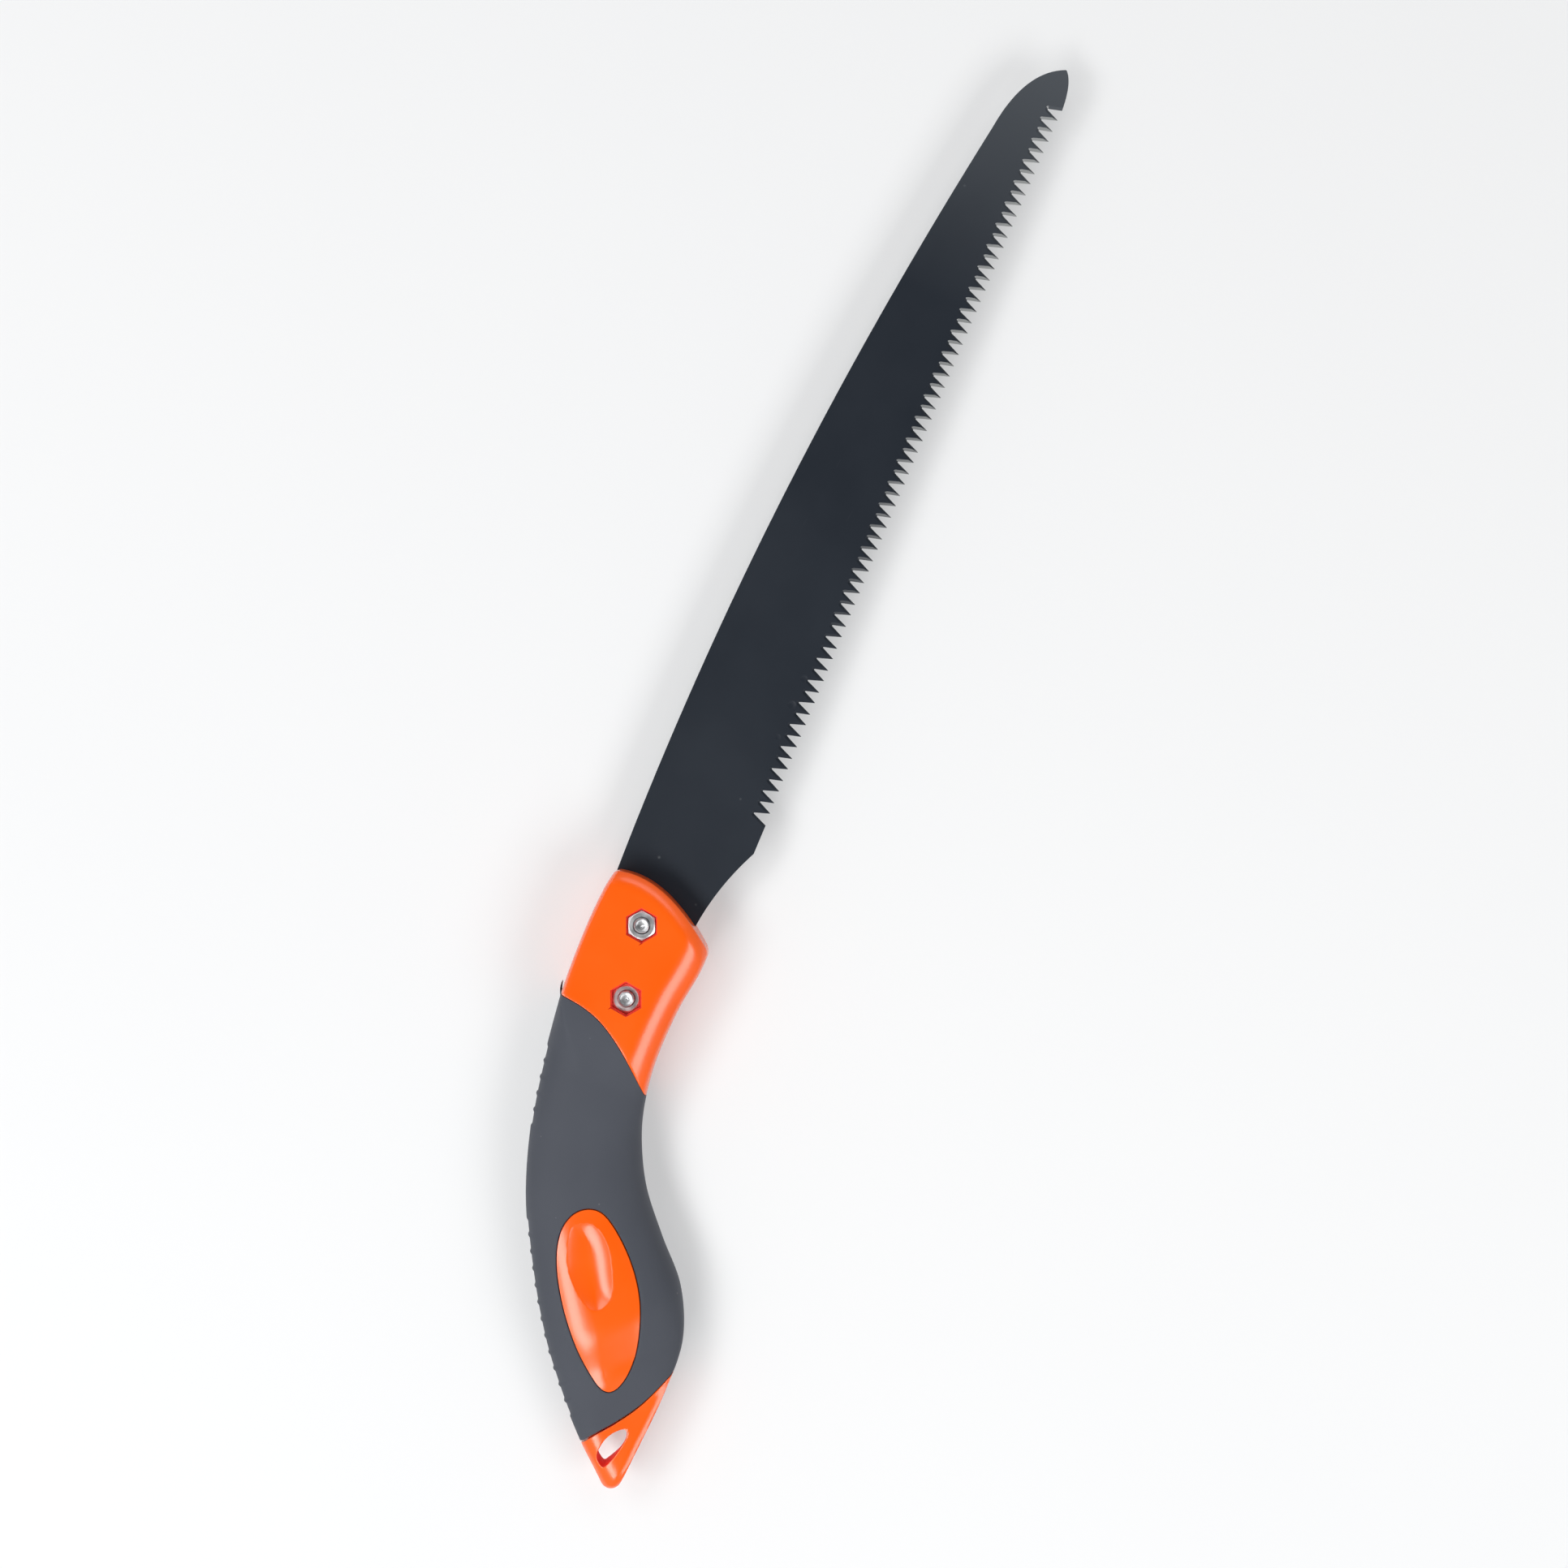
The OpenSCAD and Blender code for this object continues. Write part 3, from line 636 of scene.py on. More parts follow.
HANG_RIM = [(0, -0.6), (0.06, -0.25), (0.18, -0.05), (0.4, 0.04), (0.9, 0.4)]
HANG_GROWTH, HANG_CLEAR = 1.0, 20
rings = [level(hang_below, HANG_GROWTH, MID - HANG_CLEAR)]
rings += [[(x, y, 2 * MID - z) for x, y, z in ring] for ring in rim(core, hang_below, reversed(HANG_RIM))]
rings += rim(core, hang, HANG_RIM) + [level(hang, HANG_GROWTH, MID + HANG_CLEAR)]
combine(core, loft("hang_cut", rings))
tell("Core", core)

# %% [markdown]
# The walls of these openings are duller than the outer skin. The deep red of light caught between them is painted
# into their colour, so they are marked in a face attribute for the finish to read.

# %% Mark the walls of the openings for their painted red
# Middle of each opening, how far its walls reach, and how far from mid-height the skin starts
OPENINGS = [(FRONT_PLACE, 6.0, 11.7), (REAR_PLACE, 6.0, 11.7), (sum(hang, Vector((0, 0))) / len(hang), 7.2, 0)]
STEEP = 0.5

def mark_faces(piece, name, rule):
    marks = piece.data.attributes.new(name, "FLOAT", "FACE").data
    for face, mark in zip(piece.data.polygons, marks):
        mark.value = rule(face)
    print(f"Marked as {name}: {sum(mark.value > 0 for mark in marks)} faces")

def is_painted_red_wall(face):
    off = abs(face.center.z / MM - MID)
    return any((face.center.xy / MM - place).length < reach and (abs(face.normal.z) < STEEP or off < skin)
               for place, reach, skin in OPENINGS)

mark_faces(core, "recess", is_painted_red_wall)

# %% [markdown]
# ## The blade
# The blade is one plate of coated steel. Each flank of a tooth is ground from both sides to an edge, above and below
# the middle of the plate by turns, so a gullet is a notch that narrows to that edge. One of each kind is modelled,
# copied along the tooth line and cut.

# %% Outline of the blade
BLADE_REACH, BACK_CROWN, BACK_LIFT = 299.0, 6.6, 0.85
NOSE_LENGTH, NOSE_HEIGHT, HEEL_LENGTH = 11.4, 6.5, 9.3
BACK_PARTS, BOW_PARTS, CHIN_PARTS = 32, 18, 14
heel, toe = Vector((54.0, -16.5)), Vector((BLADE_REACH - NOSE_LENGTH, 1.9))
nose = Vector((BLADE_REACH, NOSE_HEIGHT))
nose_back = BLADE_REACH - 2.2 * NOSE_LENGTH

def back_y(x):
    share = (x - FRONT_X) / (nose_back - FRONT_X)
    return BACK_HEIGHT + BACK_CROWN * (1 - (2 * share - 1) ** 2) + BACK_LIFT * share ** 5

back_x = [FRONT_X + (nose_back - FRONT_X) * k / BACK_PARTS for k in range(BACK_PARTS + 1)]
back_points = [Vector((x, back_y(x))) for x in back_x]
# The bows of nose and heel go by shares of their lengths and heights
nose_top = Vector((nose.x - 0.5 * NOSE_LENGTH, back_y(nose_back) - 0.15 * NOSE_HEIGHT))
nose_chin = Vector((nose.x - 0.23 * NOSE_LENGTH, toe.y + 0.17 * NOSE_HEIGHT))
nose_under = nose - Vector((0, 0.05 * NOSE_HEIGHT))
nose_points = bow(back_points[-1], nose_top, nose, BOW_PARTS)[1:] + bow(nose_under, nose_chin, toe, CHIN_PARTS)

heel_corner = heel - Vector((HEEL_LENGTH, 0.075 * HEEL_LENGTH))
heel_bow = 3.2 * HEEL_LENGTH
heel_curve = bow(heel_corner, Vector((heel_corner.x - heel_bow / 2, TANG_LOW)),
                 Vector((heel_corner.x - heel_bow, TANG_LOW)), BOW_PARTS)
print("Points of the back:", len(back_points))

# %% Tooth line
TEETH, PITCH_CHANGE, TIP_SHIFT, TEETH_HOLLOW = 66, 0.022, 0.24, 0.5
TOOTH_DEPTH, TOOTH_PITCH, GULLET_LEAD, TIP_FLAT = 5.1, 3.57, 2.15, 0.1
line_length = (toe - heel).length
along_line = (toe - heel) / line_length
into_blade = Vector((-along_line.y, along_line.x))
line_angle = atan2(along_line.y, along_line.x)

def tip_run(k):
    return line_length / TEETH * (k + PITCH_CHANGE * k * (TEETH - k) / TEETH) + (k % 2) * TIP_SHIFT

def tooth_line(run):
    hollow = TEETH_HOLLOW * 4 * run * (line_length - run) / line_length ** 2
    return heel + along_line * run + into_blade * hollow

tip_points = [tooth_line(tip_run(k)) + into_blade * TIP_FLAT * TOOTH_DEPTH / TOOTH_PITCH
              for k in range(TEETH - 1, 0, -1)]
outline = back_points + nose_points + tip_points + [heel] + [p for p in heel_curve if p.x > FRONT_PLACE.x]
outline += [Vector((TANG_END, TANG_LOW)), Vector((TANG_END, TANG_TOP))]
blade = plate("saw_blade", outline, MID - BLADE_THICKNESS / 2, MID + BLADE_THICKNESS / 2)
print("Blade outline:", len(outline), "points")

# %% Soften the edges of the plate
EDGE_BEVEL = 0.09
edit(blade)
bpy.ops.mesh.select_mode(type="EDGE")
bpy.ops.mesh.select_all(action="DESELECT")
mesh = bmesh.from_edit_mesh(blade.data)
for edge in mesh.edges:
    edge.select_set(abs(edge.verts[0].co.z - edge.verts[1].co.z) < MERGE)
bmesh.update_edit_mesh(blade.data)
bpy.ops.mesh.bevel(offset=EDGE_BEVEL * MM, segments=2, affect="EDGES")
bpy.ops.object.mode_set(mode="OBJECT")
tell("Blade with soft edges", blade)

# %% Cut the gullets
FLANK_LEAN, EDGE_SHIFT, GULLET_RADIUS = radians(50), 0.05, 0.2
PAST, CUT_HEIGHT, GULLET_PARTS, SHALLOW, HOLE_REACH = 1.0, 0.75, 6, 0.9, 2

def gullet_ring(width, depth, growth, z):
    """A notch with a round end, whose sides stand back by the growth."""
    runs = -GULLET_LEAD, width - GULLET_LEAD
    sides = [Vector((run, -depth)) for run in runs]
    facing = [Vector((copysign(depth, run), abs(run))).normalized() for run in runs]
    middle = Vector((0, depth)) - (facing[0] + facing[1]) * GULLET_RADIUS / (1 + facing[0].dot(facing[1]))
    radius = GULLET_RADIUS + growth
    first, last = (atan2(f.y, f.x) for f in facing)
    turns = [first + (last - first) * k / GULLET_PARTS for k in range(GULLET_PARTS + 1)]
    end = [middle + Vector((cos(t), sin(t))) * radius for t in turns]
    mouth = [p + side * (p.y + PAST) / depth for p, side in ((end[0], sides[0]), (end[-1], sides[1]))]
    return [(*p, z) for p in [mouth[0]] + end + [mouth[1]]]

MEAN_PITCH = line_length / TEETH
for first, edge, depth in ((0, EDGE_SHIFT, TOOTH_DEPTH), (1, -EDGE_SHIFT, SHALLOW * TOOTH_DEPTH)):
    width = MEAN_PITCH + (TIP_SHIFT if first == 0 else -TIP_SHIFT)
    levels = (-CUT_HEIGHT, edge, CUT_HEIGHT)
    notch = loft("gullet", [gullet_ring(width, depth, abs(z - edge) * tan(FLANK_LEAN), z) for z in levels])
    cuts = []
    for k in range(first, TEETH, 2):
        stretch = (tip_run(k + 1) - tip_run(k)) / width
        place = tooth_line(tip_run(k) + GULLET_LEAD * stretch)
        matrix = Matrix.Translation((place.x * MM, place.y * MM, MID * MM)) @ Matrix.Rotation(line_angle, 4, "Z")
        cuts.append(copy_of(notch, "gullet_cut", matrix @ Matrix.Scale(stretch, 4, (1, 0, 0))))
    bpy.data.objects.remove(notch)
    combine(blade, join(cuts))
for place in (FRONT_PLACE, REAR_PLACE):
    hole = [(HOLE_RADIUS, MID - HOLE_REACH), (HOLE_RADIUS, MID + HOLE_REACH)]
    combine(blade, lathe("tang_hole", place, hole, 48))
tell(f"Blade with {TEETH} teeth", blade)

# %% [markdown]
# Above the first teeth the plate has a few shallow dents. The flanks that face the handle are ground bare and get a
# painted reflection that grows towards the nose, so they are marked in a face attribute.

# %% Dents, and marks for the ground flanks with their painted reflection
DENT_RADIUS = 6.0
BLADE_DENTS = [(98.8, -6.8, 1.2), (90.2, -7.0, 1.3), (79.6, -7.6, 0.9)]
for x, y, reach in BLADE_DENTS:
    high = MID + BLADE_THICKNESS / 2 + sqrt(DENT_RADIUS ** 2 - reach ** 2)
    combine(blade, lens("dent", (x, y, high), [DENT_RADIUS] * 3))

# Limits of the flanks' normals, their reach in tooth depths and the most they are bare and painted light
TO_HANDLE, NOT_FLAT, FLANK_REACH, MOST_BARE_AND_SHEEN = -0.3, 0.93, 1.5, 0.9

def bare_and_painted_sheen(face):
    off = face.center.xy / MM - heel
    run = off.dot(along_line)
    near_teeth = off.dot(into_blade) < FLANK_REACH * TOOTH_DEPTH and 0 < run < line_length
    to_handle = face.normal.xy.dot(along_line) < TO_HANDLE and abs(face.normal.z) < NOT_FLAT
    return clamped(2 * run / line_length - 0.5, MOST_BARE_AND_SHEEN) if near_teeth and to_handle else 0

mark_faces(blade, "ground", bare_and_painted_sheen)

# %% [markdown]
# ## Bolts and nuts
# The bolts are M5 with pan heads. A Screw modifier could make the thread, but leaves its ends open. A stack of rings
# whose radius follows the helix is closed at once, and runs on into the head and the dished point.

# %% Model one bolt
HEAD_RADIUS, HEAD_BOTTOM, HEAD_TOP, HEAD_CHAMFER, BOLT_TOP = 4.75, 0.2, 3.9, 0.12, 23.9
CROWN_RADIUS, CROWN_LOW, CROWN_HEIGHT, CROWN_MIDDLE = 2.6, HEAD_BOTTOM + 0.06, 1.7, 0.4
THREAD_PITCH, MAJOR, MINOR, SHANK, THREAD_START, THREAD_END = 0.8, 2.48, 2.05, 2.5, 6.0, BOLT_TOP - 0.5
AROUND, RING_STEP, FLANK_SLOPE, ROOT_SHARE = 40, 0.1, 2.6, 0.3
# Radius and depth below the tip, for the thread's run-out and for the dished point
RUN_OUT = [(2.42, 0.4), (2.3, 0.25), (2.12, 0.1)]
POINT = [(1.92, 0), (1.72, 0.02), (1.5, 0.12), (1.1, 0.22), (0.6, 0.27), (0.2, 0.28)]
AXIS = Vector((0, 0))

def thread_ring(z, limit=MAJOR):
    ring = []
    for k in range(AROUND):
        phase = (z / THREAD_PITCH - k / AROUND) % 1
        crest = clamped(abs(phase - 0.5) * FLANK_SLOPE - ROOT_SHARE)
        radius = min(MINOR + (MAJOR - MINOR) * crest, limit)
        turn = 2 * pi * k / AROUND
        ring.append((radius * cos(turn), radius * sin(turn), z))
    return ring

crown = [radians(a) for a in (20, 40, 60, 75, 90)]
head = [(CROWN_MIDDLE, HEAD_BOTTOM), (CROWN_RADIUS, CROWN_LOW)]
head += [(CROWN_RADIUS + (HEAD_RADIUS - CROWN_RADIUS) * sin(a), CROWN_LOW + CROWN_HEIGHT * (1 - cos(a)))
         for a in crown]
head += [(HEAD_RADIUS, HEAD_TOP - HEAD_CHAMFER), (HEAD_RADIUS - HEAD_CHAMFER, HEAD_TOP)]
head += [(SHANK, HEAD_TOP), (SHANK, THREAD_START - RING_STEP)]
count = round((THREAD_END - THREAD_START) / RING_STEP)
rings = [circle_ring(AXIS, radius, z, AROUND) for radius, z in head]
rings += [thread_ring(THREAD_START + RING_STEP * k) for k in range(count + 1)]
rings += [thread_ring(BOLT_TOP - depth, radius) for radius, depth in RUN_OUT]
rings += [circle_ring(AXIS, radius, BOLT_TOP - depth, AROUND) for radius, depth in POINT]
bolt = loft("bolt", rings)
combine(bolt, lens("dimple", place=(-0.25, -0.3, BOLT_TOP + 0.45), size=(0.95, 0.75, 0.9)))
print("Bolt rings:", len(rings))

# %% Cross recess in the head
REAR_BOLT_TURN, BAR_LENGTH, BAR_WIDTH = 1.1, 2.6, 0.5
# Share of the length, and height
BAR_SECTIONS = [(1.04, HEAD_BOTTOM - 1), (1, HEAD_BOTTOM), (0.55, HEAD_BOTTOM + 2.2)]

def recess_bar(turn):
    corners = ((1, 1), (1, -1), (-1, -1), (-1, 1))
    rings = [[(BAR_LENGTH * s * x, BAR_WIDTH * y, z) for x, y in corners] for s, z in BAR_SECTIONS]
    return loft("recess", [turned(ring, AXIS, turn) for ring in rings])

for turn in (BOLT_TURN, BOLT_TURN + pi / 2):
    combine(bolt, recess_bar(turn))
front_bolt = copy_of(bolt, "bolt_front", Matrix.Translation((*(FRONT_PLACE * MM), 0)))
rear_bolt = copy_of(bolt, "bolt_rear", Matrix.Translation((*(REAR_PLACE * MM), 0))
                    @ Matrix.Rotation(REAR_BOLT_TURN, 4, "Z"))
bpy.data.objects.remove(bolt)
tell("Each bolt", front_bolt)

# %% [markdown]
# A nut is a hexagonal bar, chamfered on a lathe at both ends and bored. The hexagon is kept only where it lies inside
# a turned blank, which leaves the curved edges that every real nut has on its flats.

# %% Model one nut
NUT_CORNER = corner_radius(NUT_FLATS)
nut = begin(bpy.ops.mesh.primitive_cylinder_add, "nut", vertices=6, radius=NUT_CORNER * MM,
            depth=NUT_HEIGHT * MM, location=(0, 0, NUT_HEIGHT / 2 * MM))
bpy.ops.object.transform_apply(location=True, rotation=True, scale=True)

def both_ends(profile):
    return profile + [(radius, NUT_HEIGHT - z) for radius, z in reversed(profile)]

BLANK = [(3.72, 0), (3.84, 0.05), (NUT_CORNER + 0.06, 0.52)]
BORE = [(3.0, -0.3), (2.7, 0), (2.54, 0.16)]
combine(nut, lathe("blank", AXIS, both_ends(BLANK), 96), "INTERSECT")
combine(nut, lathe("bore", AXIS, both_ends(BORE), 64))

def nut_at(name, place, top, turn):
    matrix = Matrix.Translation((place.x * MM, place.y * MM, (top - NUT_HEIGHT) * MM))
    return copy_of(nut, name, matrix @ Matrix.Rotation(turn, 4, "Z"))

FIRST_CORNER = radians(30)
front_nut = nut_at("nut_front", FRONT_PLACE, FRONT_NUT_TOP, NUT_TURN + FIRST_CORNER)
rear_nut = nut_at("nut_rear", REAR_PLACE, REAR_NUT_TOP, NUT_TURN + FIRST_CORNER)
bpy.data.objects.remove(nut)
tell("Each nut", front_nut)

# %% [markdown]
# ## Finishes
# Every finish is a tree of nodes on object coordinates, so it stays with the piece from any side. A fine grain,
# sparse specks and thin scratches are used again and again, so each is a node group, built once.

# %% Helpers for nodes
def add(tree, kind, inputs=None, out=0, **settings):
    node = tree.nodes.new("ShaderNode" + kind)
    for name, value in settings.items():
        setattr(node, name, value)
    for name, value in (inputs or {}).items():
        if isinstance(value, bpy.types.NodeSocket):
            tree.links.new(value, node.inputs[name])
        else:
            node.inputs[name].default_value = value
    return node.outputs[out]

def new_group(name, inputs, outputs):
    tree = bpy.data.node_groups.new(name, "ShaderNodeTree")
    for socket, value in inputs.items():
        tree.interface.new_socket(socket, in_out="INPUT", socket_type="NodeSocketFloat").default_value = value
    for socket in outputs:
        tree.interface.new_socket(socket, in_out="OUTPUT", socket_type="NodeSocketFloat")
    print("Node group:", name, outputs)
    places = add(tree, "TexCoord", out="Object")
    return tree, tree.nodes.new("NodeGroupInput").outputs, tree.nodes.new("NodeGroupOutput").inputs, places

def ranged(tree, value, low, high, to_low=0.0, to_high=1.0):
    return add(tree, "MapRange", {"Value": value, "From Min": low, "From Max": high,
                                  "To Min": to_low, "To Max": to_high})

def maths(tree, operation, first, second):
    return add(tree, "Math", {0: first, 1: second}, operation=operation)

print("For nodes: add, new_group, ranged, maths")

# %% Fine grain
scales = {"Fine scale": 2500.0, "Broad scale": 40.0}
grain, given, result, places = new_group("Fine grain", scales, ["Height", "Tone"])
fine = add(grain, "TexNoise", {"Vector": places, "Scale": given["Fine scale"], "Detail": 3.0, "Roughness": 0.6})
broad = add(grain, "TexNoise", {"Vector": places, "Scale": given["Broad scale"], "Detail": 4.0})
grain.links.new(fine, result["Height"])
grain.links.new(ranged(grain, broad, 0.3, 0.7), result["Tone"])

# %% Sparse specks
specks, given, result, places = new_group("Specks", {"Scale": 300.0, "Share": 0.04, "Size": 0.2}, ["Mask"])
cells = add(specks, "TexVoronoi", {"Vector": places, "Scale": given["Scale"]}).node.outputs
chance = add(specks, "SeparateColor", {"Color": cells["Color"]}, out="Red")
chosen = maths(specks, "LESS_THAN", chance, given["Share"])
near = maths(specks, "DIVIDE", cells["Distance"], given["Size"])
mask = maths(specks, "MULTIPLY", chosen, ranged(specks, near, 1.0, 0.4))
specks.links.new(mask, result["Mask"])

# %% Thin scratches
scratches, given, result, places = new_group("Scratches", {"Scale": 60.0, "Stretch": 14.0, "Share": 0.74}, ["Mask"])
bend = add(scratches, "TexNoise", {"Vector": places, "Scale": 14.0, "Detail": 1.0}, out="Color")
shifted = add(scratches, "MixRGB", {"Fac": 0.012, "Color1": places, "Color2": bend})
squeeze = add(scratches, "CombineXYZ", {"X": 1.0, "Y": given["Stretch"], "Z": 1.0})
lines = add(scratches, "VectorMath", {0: shifted, 1: squeeze}, operation="MULTIPLY")
streaks = add(scratches, "TexNoise", {"Vector": lines, "Scale": given["Scale"], "Detail": 2.0})
over = maths(scratches, "SUBTRACT", streaks, given["Share"])
scratches.links.new(ranged(scratches, over, 0.0, 0.05), result["Mask"])

# %% Materials share one start
def new_material(name, **constants):
    material = bpy.data.materials.new(name)
    material.use_nodes = True
    tree = material.node_tree
    shader = tree.nodes["Principled BSDF"]
    for socket, value in constants.items():
        shader.inputs[socket.replace("_", " ")].default_value = value
    print("Finish:", name)
    return material, tree, shader.inputs

def use(tree, group, **values):
    node = tree.nodes.new("ShaderNodeGroup")
    node.node_tree = group
    for socket, value in values.items():
        node.inputs[socket.replace("_", " ")].default_value = value
    return node.outputs

def mixed(tree, share, first, second):
    return add(tree, "Mix", {0: share, 6: first, 7: second}, out=2, data_type="RGBA")

def raised(tree, height, strength, distance):
    return add(tree, "Bump", {"Height": height, "Strength": strength, "Distance": distance * MM})

print("For finishes: new_material, use, mixed, raised")

# %% [markdown]
# The blade has a matt black coating with a cool cast. It is not quite even, and carries a few pale specks of dust and
# hair-thin scratches. Towards the nose it is painted lighter, a painted reflection.

# %% Black coating
coating, tree, shader = new_material("black_coating", IOR=1.45)
surface = use(tree, grain, Fine_scale=5200.0, Broad_scale=26.0)
dust = use(tree, specks, Scale=260.0, Share=0.012, Size=0.16)
marks = use(tree, scratches, Scale=34.0, Stretch=22.0, Share=0.76)
along = add(tree, "SeparateXYZ", {"Vector": add(tree, "TexCoord", out="Object")}, out="X")
ground_flank_sheen = add(tree, "Attribute", out="Fac", attribute_name="ground")
base = mixed(tree, surface["Tone"], (0.0048, 0.0092, 0.0168, 1), (0.0068, 0.0120, 0.0208, 1))
# Painted reflection: the coating turns lighter towards the nose
base = mixed(tree, ranged(tree, along, 0.22, 0.30, 0, 0.7), base, (0.085, 0.095, 0.108, 1))
base = mixed(tree, ranged(tree, dust["Mask"], 0, 1, 0, 0.5), base, (0.12, 0.13, 0.14, 1))
base = mixed(tree, ranged(tree, marks["Mask"], 0, 1, 0, 0.25), base, (0.06, 0.065, 0.075, 1))
# Flanks facing the handle: bare ground steel, with a painted reflection that grows towards the nose
base = mixed(tree, ground_flank_sheen, base, (0.45, 0.46, 0.46, 1))
tree.links.new(base, shader["Base Color"])
matt = ranged(tree, surface["Tone"], 0, 1, 0.42, 0.50)
tree.links.new(mixed(tree, ground_flank_sheen, matt, (0.3, 0.3, 0.3, 1)), shader["Roughness"])
tree.links.new(ranged(tree, ground_flank_sheen, 0, 1, 0, 0.9), shader["Metallic"])
tree.links.new(raised(tree, surface["Height"], 0.25, 0.02), shader["Normal"])

# %% [markdown]
# The core is a hard plastic in a full orange. Its satin skin has a very fine grain, a slight change of tone where the
# plastic flowed, and now and then a dark speck.

# %% Orange moulding
orange, tree, shader = new_material("orange_moulding", IOR=1.54, Specular_IOR_Level=0.64)
surface = use(tree, grain, Fine_scale=3600.0, Broad_scale=45.0)
dirt = use(tree, specks, Scale=330.0, Share=0.006, Size=0.15)
base = mixed(tree, surface["Tone"], (0.94, 0.108, 0.0015, 1), (0.97, 0.120, 0.003, 1))
base = mixed(tree, ranged(tree, dirt["Mask"], 0, 1, 0, 0.55), base, (0.30, 0.03, 0.008, 1))
# Painted light: the walls of the openings take a deep red for the light caught between them
wall = add(tree, "Attribute", out="Fac", attribute_name="recess")
tree.links.new(mixed(tree, wall, base, (0.93, 0.026, 0.006, 1)), shader["Base Color"])
satin = ranged(tree, surface["Tone"], 0, 1, 0.21, 0.25)
tree.links.new(mixed(tree, wall, satin, (0.8, 0.8, 0.8, 1)), shader["Roughness"])
tree.links.new(raised(tree, surface["Height"], 0.18, 0.02), shader["Normal"])

# %% [markdown]
# The sleeve is a soft, matt grey elastomer, which scatters light broadly, takes up a little dust and has a fine,
# leathery grain.

# %% Soft sleeve
soft, tree, shader = new_material("soft_grey", IOR=1.45, Sheen_Weight=0.03, Sheen_Roughness=0.6)
surface = use(tree, grain, Fine_scale=2600.0, Broad_scale=32.0)
dust = use(tree, specks, Scale=420.0, Share=0.02, Size=0.15)
base = mixed(tree, surface["Tone"], (0.048, 0.054, 0.070, 1), (0.060, 0.066, 0.083, 1))
base = mixed(tree, ranged(tree, dust["Mask"], 0, 1, 0, 0.35), base, (0.24, 0.24, 0.25, 1))
tree.links.new(base, shader["Base Color"])
tree.links.new(ranged(tree, surface["Tone"], 0, 1, 0.66, 0.76), shader["Roughness"])
tree.links.new(raised(tree, surface["Height"], 0.35, 0.035), shader["Normal"])

# %% [markdown]
# Bolts and nuts are bright zinc with the fine rings of the lathe. The rear nut's warm tint is a painted reflection of
# its orange pocket. A Mapping node centres them on each bolt's axis.

# %% Bright zinc
def zinc(name, place, dull, bright):
    material, tree, shader = new_material(name, Metallic=1.0)
    surface = use(tree, grain, Fine_scale=4200.0, Broad_scale=420.0)
    coordinates = add(tree, "TexCoord", out="Object")
    centred = add(tree, "Mapping", {"Vector": coordinates, "Location": (-place.x * MM, -place.y * MM, 0)})
    rings = add(tree, "TexWave", {"Vector": centred, "Scale": 900.0, "Distortion": 1.2, "Detail": 2.0},
                out="Fac", wave_type="RINGS", rings_direction="Z")
    tree.links.new(mixed(tree, surface["Tone"], (*dull, 1), (*bright, 1)), shader["Base Color"])
    tree.links.new(ranged(tree, surface["Tone"], 0, 1, 0.32, 0.42), shader["Roughness"])
    tree.links.new(raised(tree, rings, 0.12, 0.02), shader["Normal"])
    return material

NUT_TONES = (0.64, 0.645, 0.66), (0.76, 0.765, 0.78)
# The rear nut's warm tint is a painted reflection of the orange pocket round it
REAR_NUT_PAINTED_REFLECTION = (0.86, 0.72, 0.72), (0.95, 0.81, 0.81)
BOLT_TONES = (0.46, 0.465, 0.48), (0.58, 0.585, 0.60)
front_nut_zinc = zinc("zinc_nut", FRONT_PLACE, *NUT_TONES)
rear_nut_zinc = zinc("zinc_rear_nut", REAR_PLACE, *REAR_NUT_PAINTED_REFLECTION)
front_zinc = zinc("zinc_bolt", FRONT_PLACE, *BOLT_TONES)
rear_zinc = zinc("zinc_rear_bolt", REAR_PLACE, *BOLT_TONES)

# %% [markdown]
# ## Hand the pieces to the frame
# Each piece replaces its CAD node, rides on the one body of the saw and takes its finish.

# %% Dress, ride and replace
# Piece, finish, node, slot, and the angle in degrees below which edges are smooth
PIECES = [(blade, coating, "blade", "coated_steel", 8),
          (core, orange, "handle_core", "orange_moulding", 32),
          (sleeve, soft, "grip_sleeve", "soft_sleeve", 35),
          (front_bolt, front_zinc, "front_bolt", "zinc_steel", 32),
          (rear_bolt, rear_zinc, "rear_bolt", "zinc_steel", 32),
          (front_nut, front_nut_zinc, "front_nut", "zinc_steel", 20),
          (rear_nut, rear_nut_zinc, "rear_nut", "zinc_steel", 20)]
for piece, material, node, slot, degrees in PIECES:
    piece.data.materials.clear()
    piece.data.materials.append(material)
    take(piece)
    bpy.ops.object.shade_smooth_by_angle(angle=radians(degrees))
    tell(piece.name, piece)
    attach(piece, "root")
    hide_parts(node)

# %% [markdown]
# ## Floor, light and camera
# The saw lies on a plain pale floor. One broad soft light hangs over the spine side, and three weaker ones over the
# back, over the belly and before the nose. The sky is bright at the horizon and dim overhead, so flat faces that look
# straight up keep their colour and only the slopes shine.

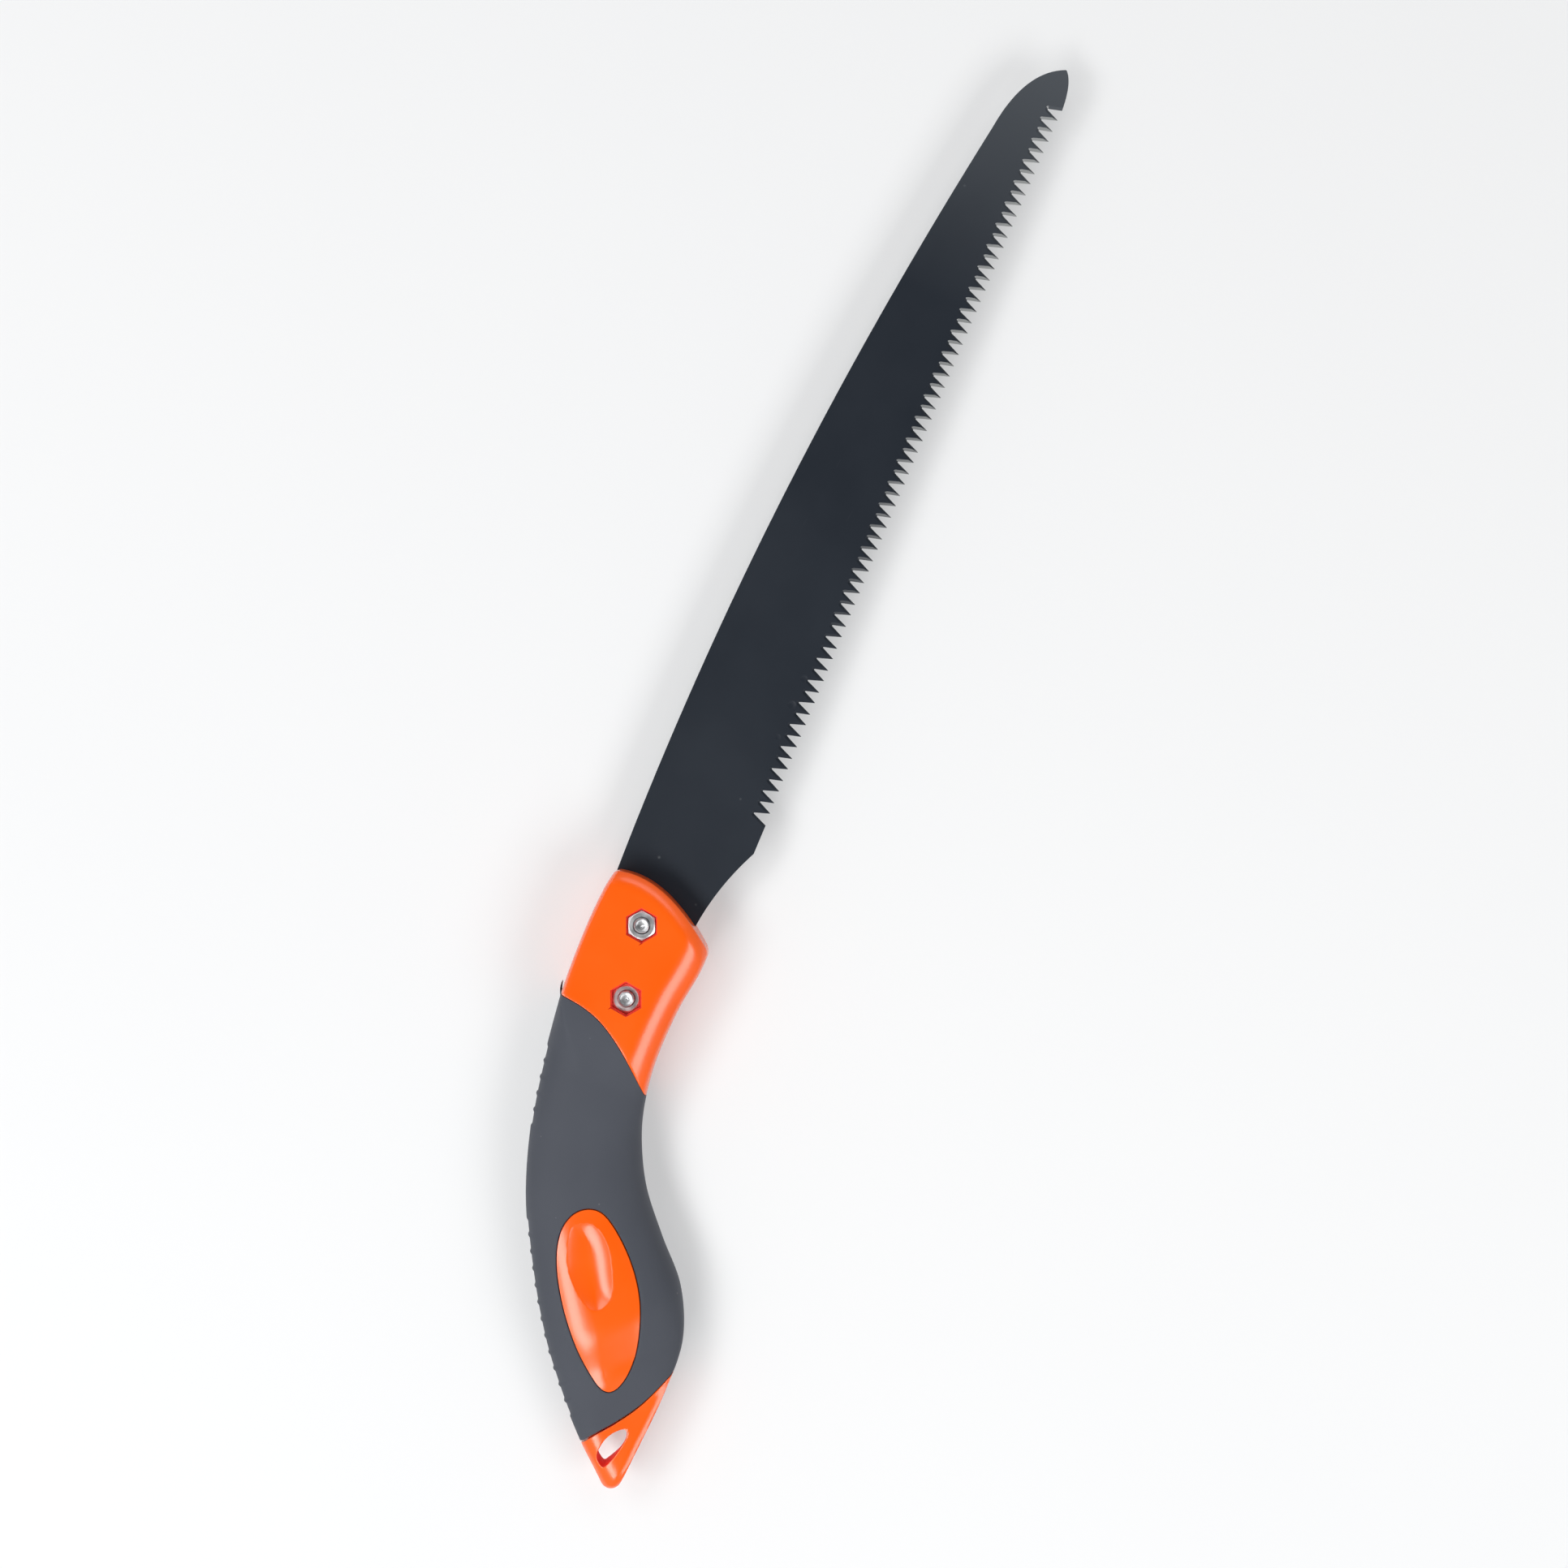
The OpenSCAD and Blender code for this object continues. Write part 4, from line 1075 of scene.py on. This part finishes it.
# %% Floor
FLOOR_SIZE, FLOOR_GLOW = 8, 0.30
floor = begin(bpy.ops.mesh.primitive_plane_add, "pale_floor", size=FLOOR_SIZE)
paper, tree, shader = new_material("pale_paper", Roughness=0.9, Specular_IOR_Level=0.1)
surface = use(tree, grain, Fine_scale=900.0, Broad_scale=3.0)
tree.links.new(mixed(tree, surface["Tone"], (0.81, 0.815, 0.82, 1), (0.83, 0.835, 0.835, 1)), shader["Base Color"])
rays = add(tree, "LightPath").node.outputs
seen = maths(tree, "MAXIMUM", rays["Is Camera Ray"], rays["Is Glossy Ray"])
seen = maths(tree, "MAXIMUM", seen, rays["Is Transmission Ray"])
plain = tree.nodes["Principled BSDF"].outputs[0]
white = add(tree, "Emission", {"Color": (0.955, 0.96, 0.97, 1), "Strength": 1.0})
glow = add(tree, "MixShader", {0: ranged(tree, seen, 0, 1, 0, FLOOR_GLOW), 1: plain, 2: white})
tree.links.new(glow, tree.nodes["Material Output"].inputs["Surface"])
floor.data.materials.append(paper)
print("Floor:", FLOOR_SIZE, "m wide")

# %% Camera
CAMERA_TURN = radians(-62.97)
CAMERA_PLACE = Vector((67.74, -15.74, 762)) * MM
camera_data = bpy.data.cameras.new("camera")
camera_data.lens, camera_data.sensor_width = 56.85, 36

def new_object(name, data):
    thing = bpy.data.objects.new(name, data)
    bpy.context.collection.objects.link(thing)
    return thing

camera = new_object("camera", camera_data)
camera.location, camera.rotation_euler = CAMERA_PLACE, (0, 0, CAMERA_TURN)
bpy.context.scene.camera = camera
print("Camera:", CAMERA_PLACE)

# %% Lamps
AIM = Vector((20, -15, 10)) * MM

def softbox(name, turn, tilt, distance, width, length, watts):
    """A rectangle of light: turn from the picture's right, anticlockwise, and tilt from overhead, in degrees."""
    lamp = bpy.data.lights.new(name, "AREA")
    lamp.shape, lamp.size, lamp.size_y, lamp.energy = "RECTANGLE", width, length, watts
    lamp_object = new_object(name, lamp)
    facing = Matrix.Rotation(CAMERA_TURN + radians(turn), 3, "Z") @ Matrix.Rotation(radians(tilt), 3, "Y")
    lamp_object.location = AIM + facing @ Vector((0, 0, distance))
    lamp_object.rotation_euler = facing.to_euler()

softbox("spine_softbox", 216, 37, 1.6, 0.46, 1.65, 18.0)
softbox("back_softbox", 140, 38, 1.6, 0.50, 0.8, 4.5)
softbox("belly_softbox", -38, 47, 1.5, 0.60, 1.1, 9.8)
softbox("nose_softbox", 62, 42, 1.6, 0.40, 0.9, 2.2)
print("Lamps:", len(bpy.data.lights))

# %% Sky
SKY_LEFT, SKY_RIGHT, SKY_TOP = (0.45, 0.455, 0.46, 1), (0.33, 0.333, 0.337, 1), (0.03, 0.03, 0.03, 1)
sky = bpy.data.worlds.new("sky")
bpy.context.scene.world = sky
sky.use_nodes = True
tree = sky.node_tree
direction = add(tree, "TexCoord", out="Generated")
height = add(tree, "SeparateXYZ", {"Vector": direction}, out="Z")
to_right = (cos(CAMERA_TURN), sin(CAMERA_TURN), 0)
side = add(tree, "VectorMath", {0: direction, 1: to_right}, out="Value", operation="DOT_PRODUCT")
low_sky = mixed(tree, ranged(tree, side, -0.7, 0.7), SKY_LEFT, SKY_RIGHT)
tone = mixed(tree, ranged(tree, height, 0.55, 0.88), low_sky, SKY_TOP)
tree.links.new(tone, tree.nodes["Background"].inputs["Color"])
bpy.context.scene.view_settings.view_transform = "Standard"
print("World:", sky.name)

# %% Count of pieces, and the end of the lesson
print("Pieces on the saw:", len(PIECES))
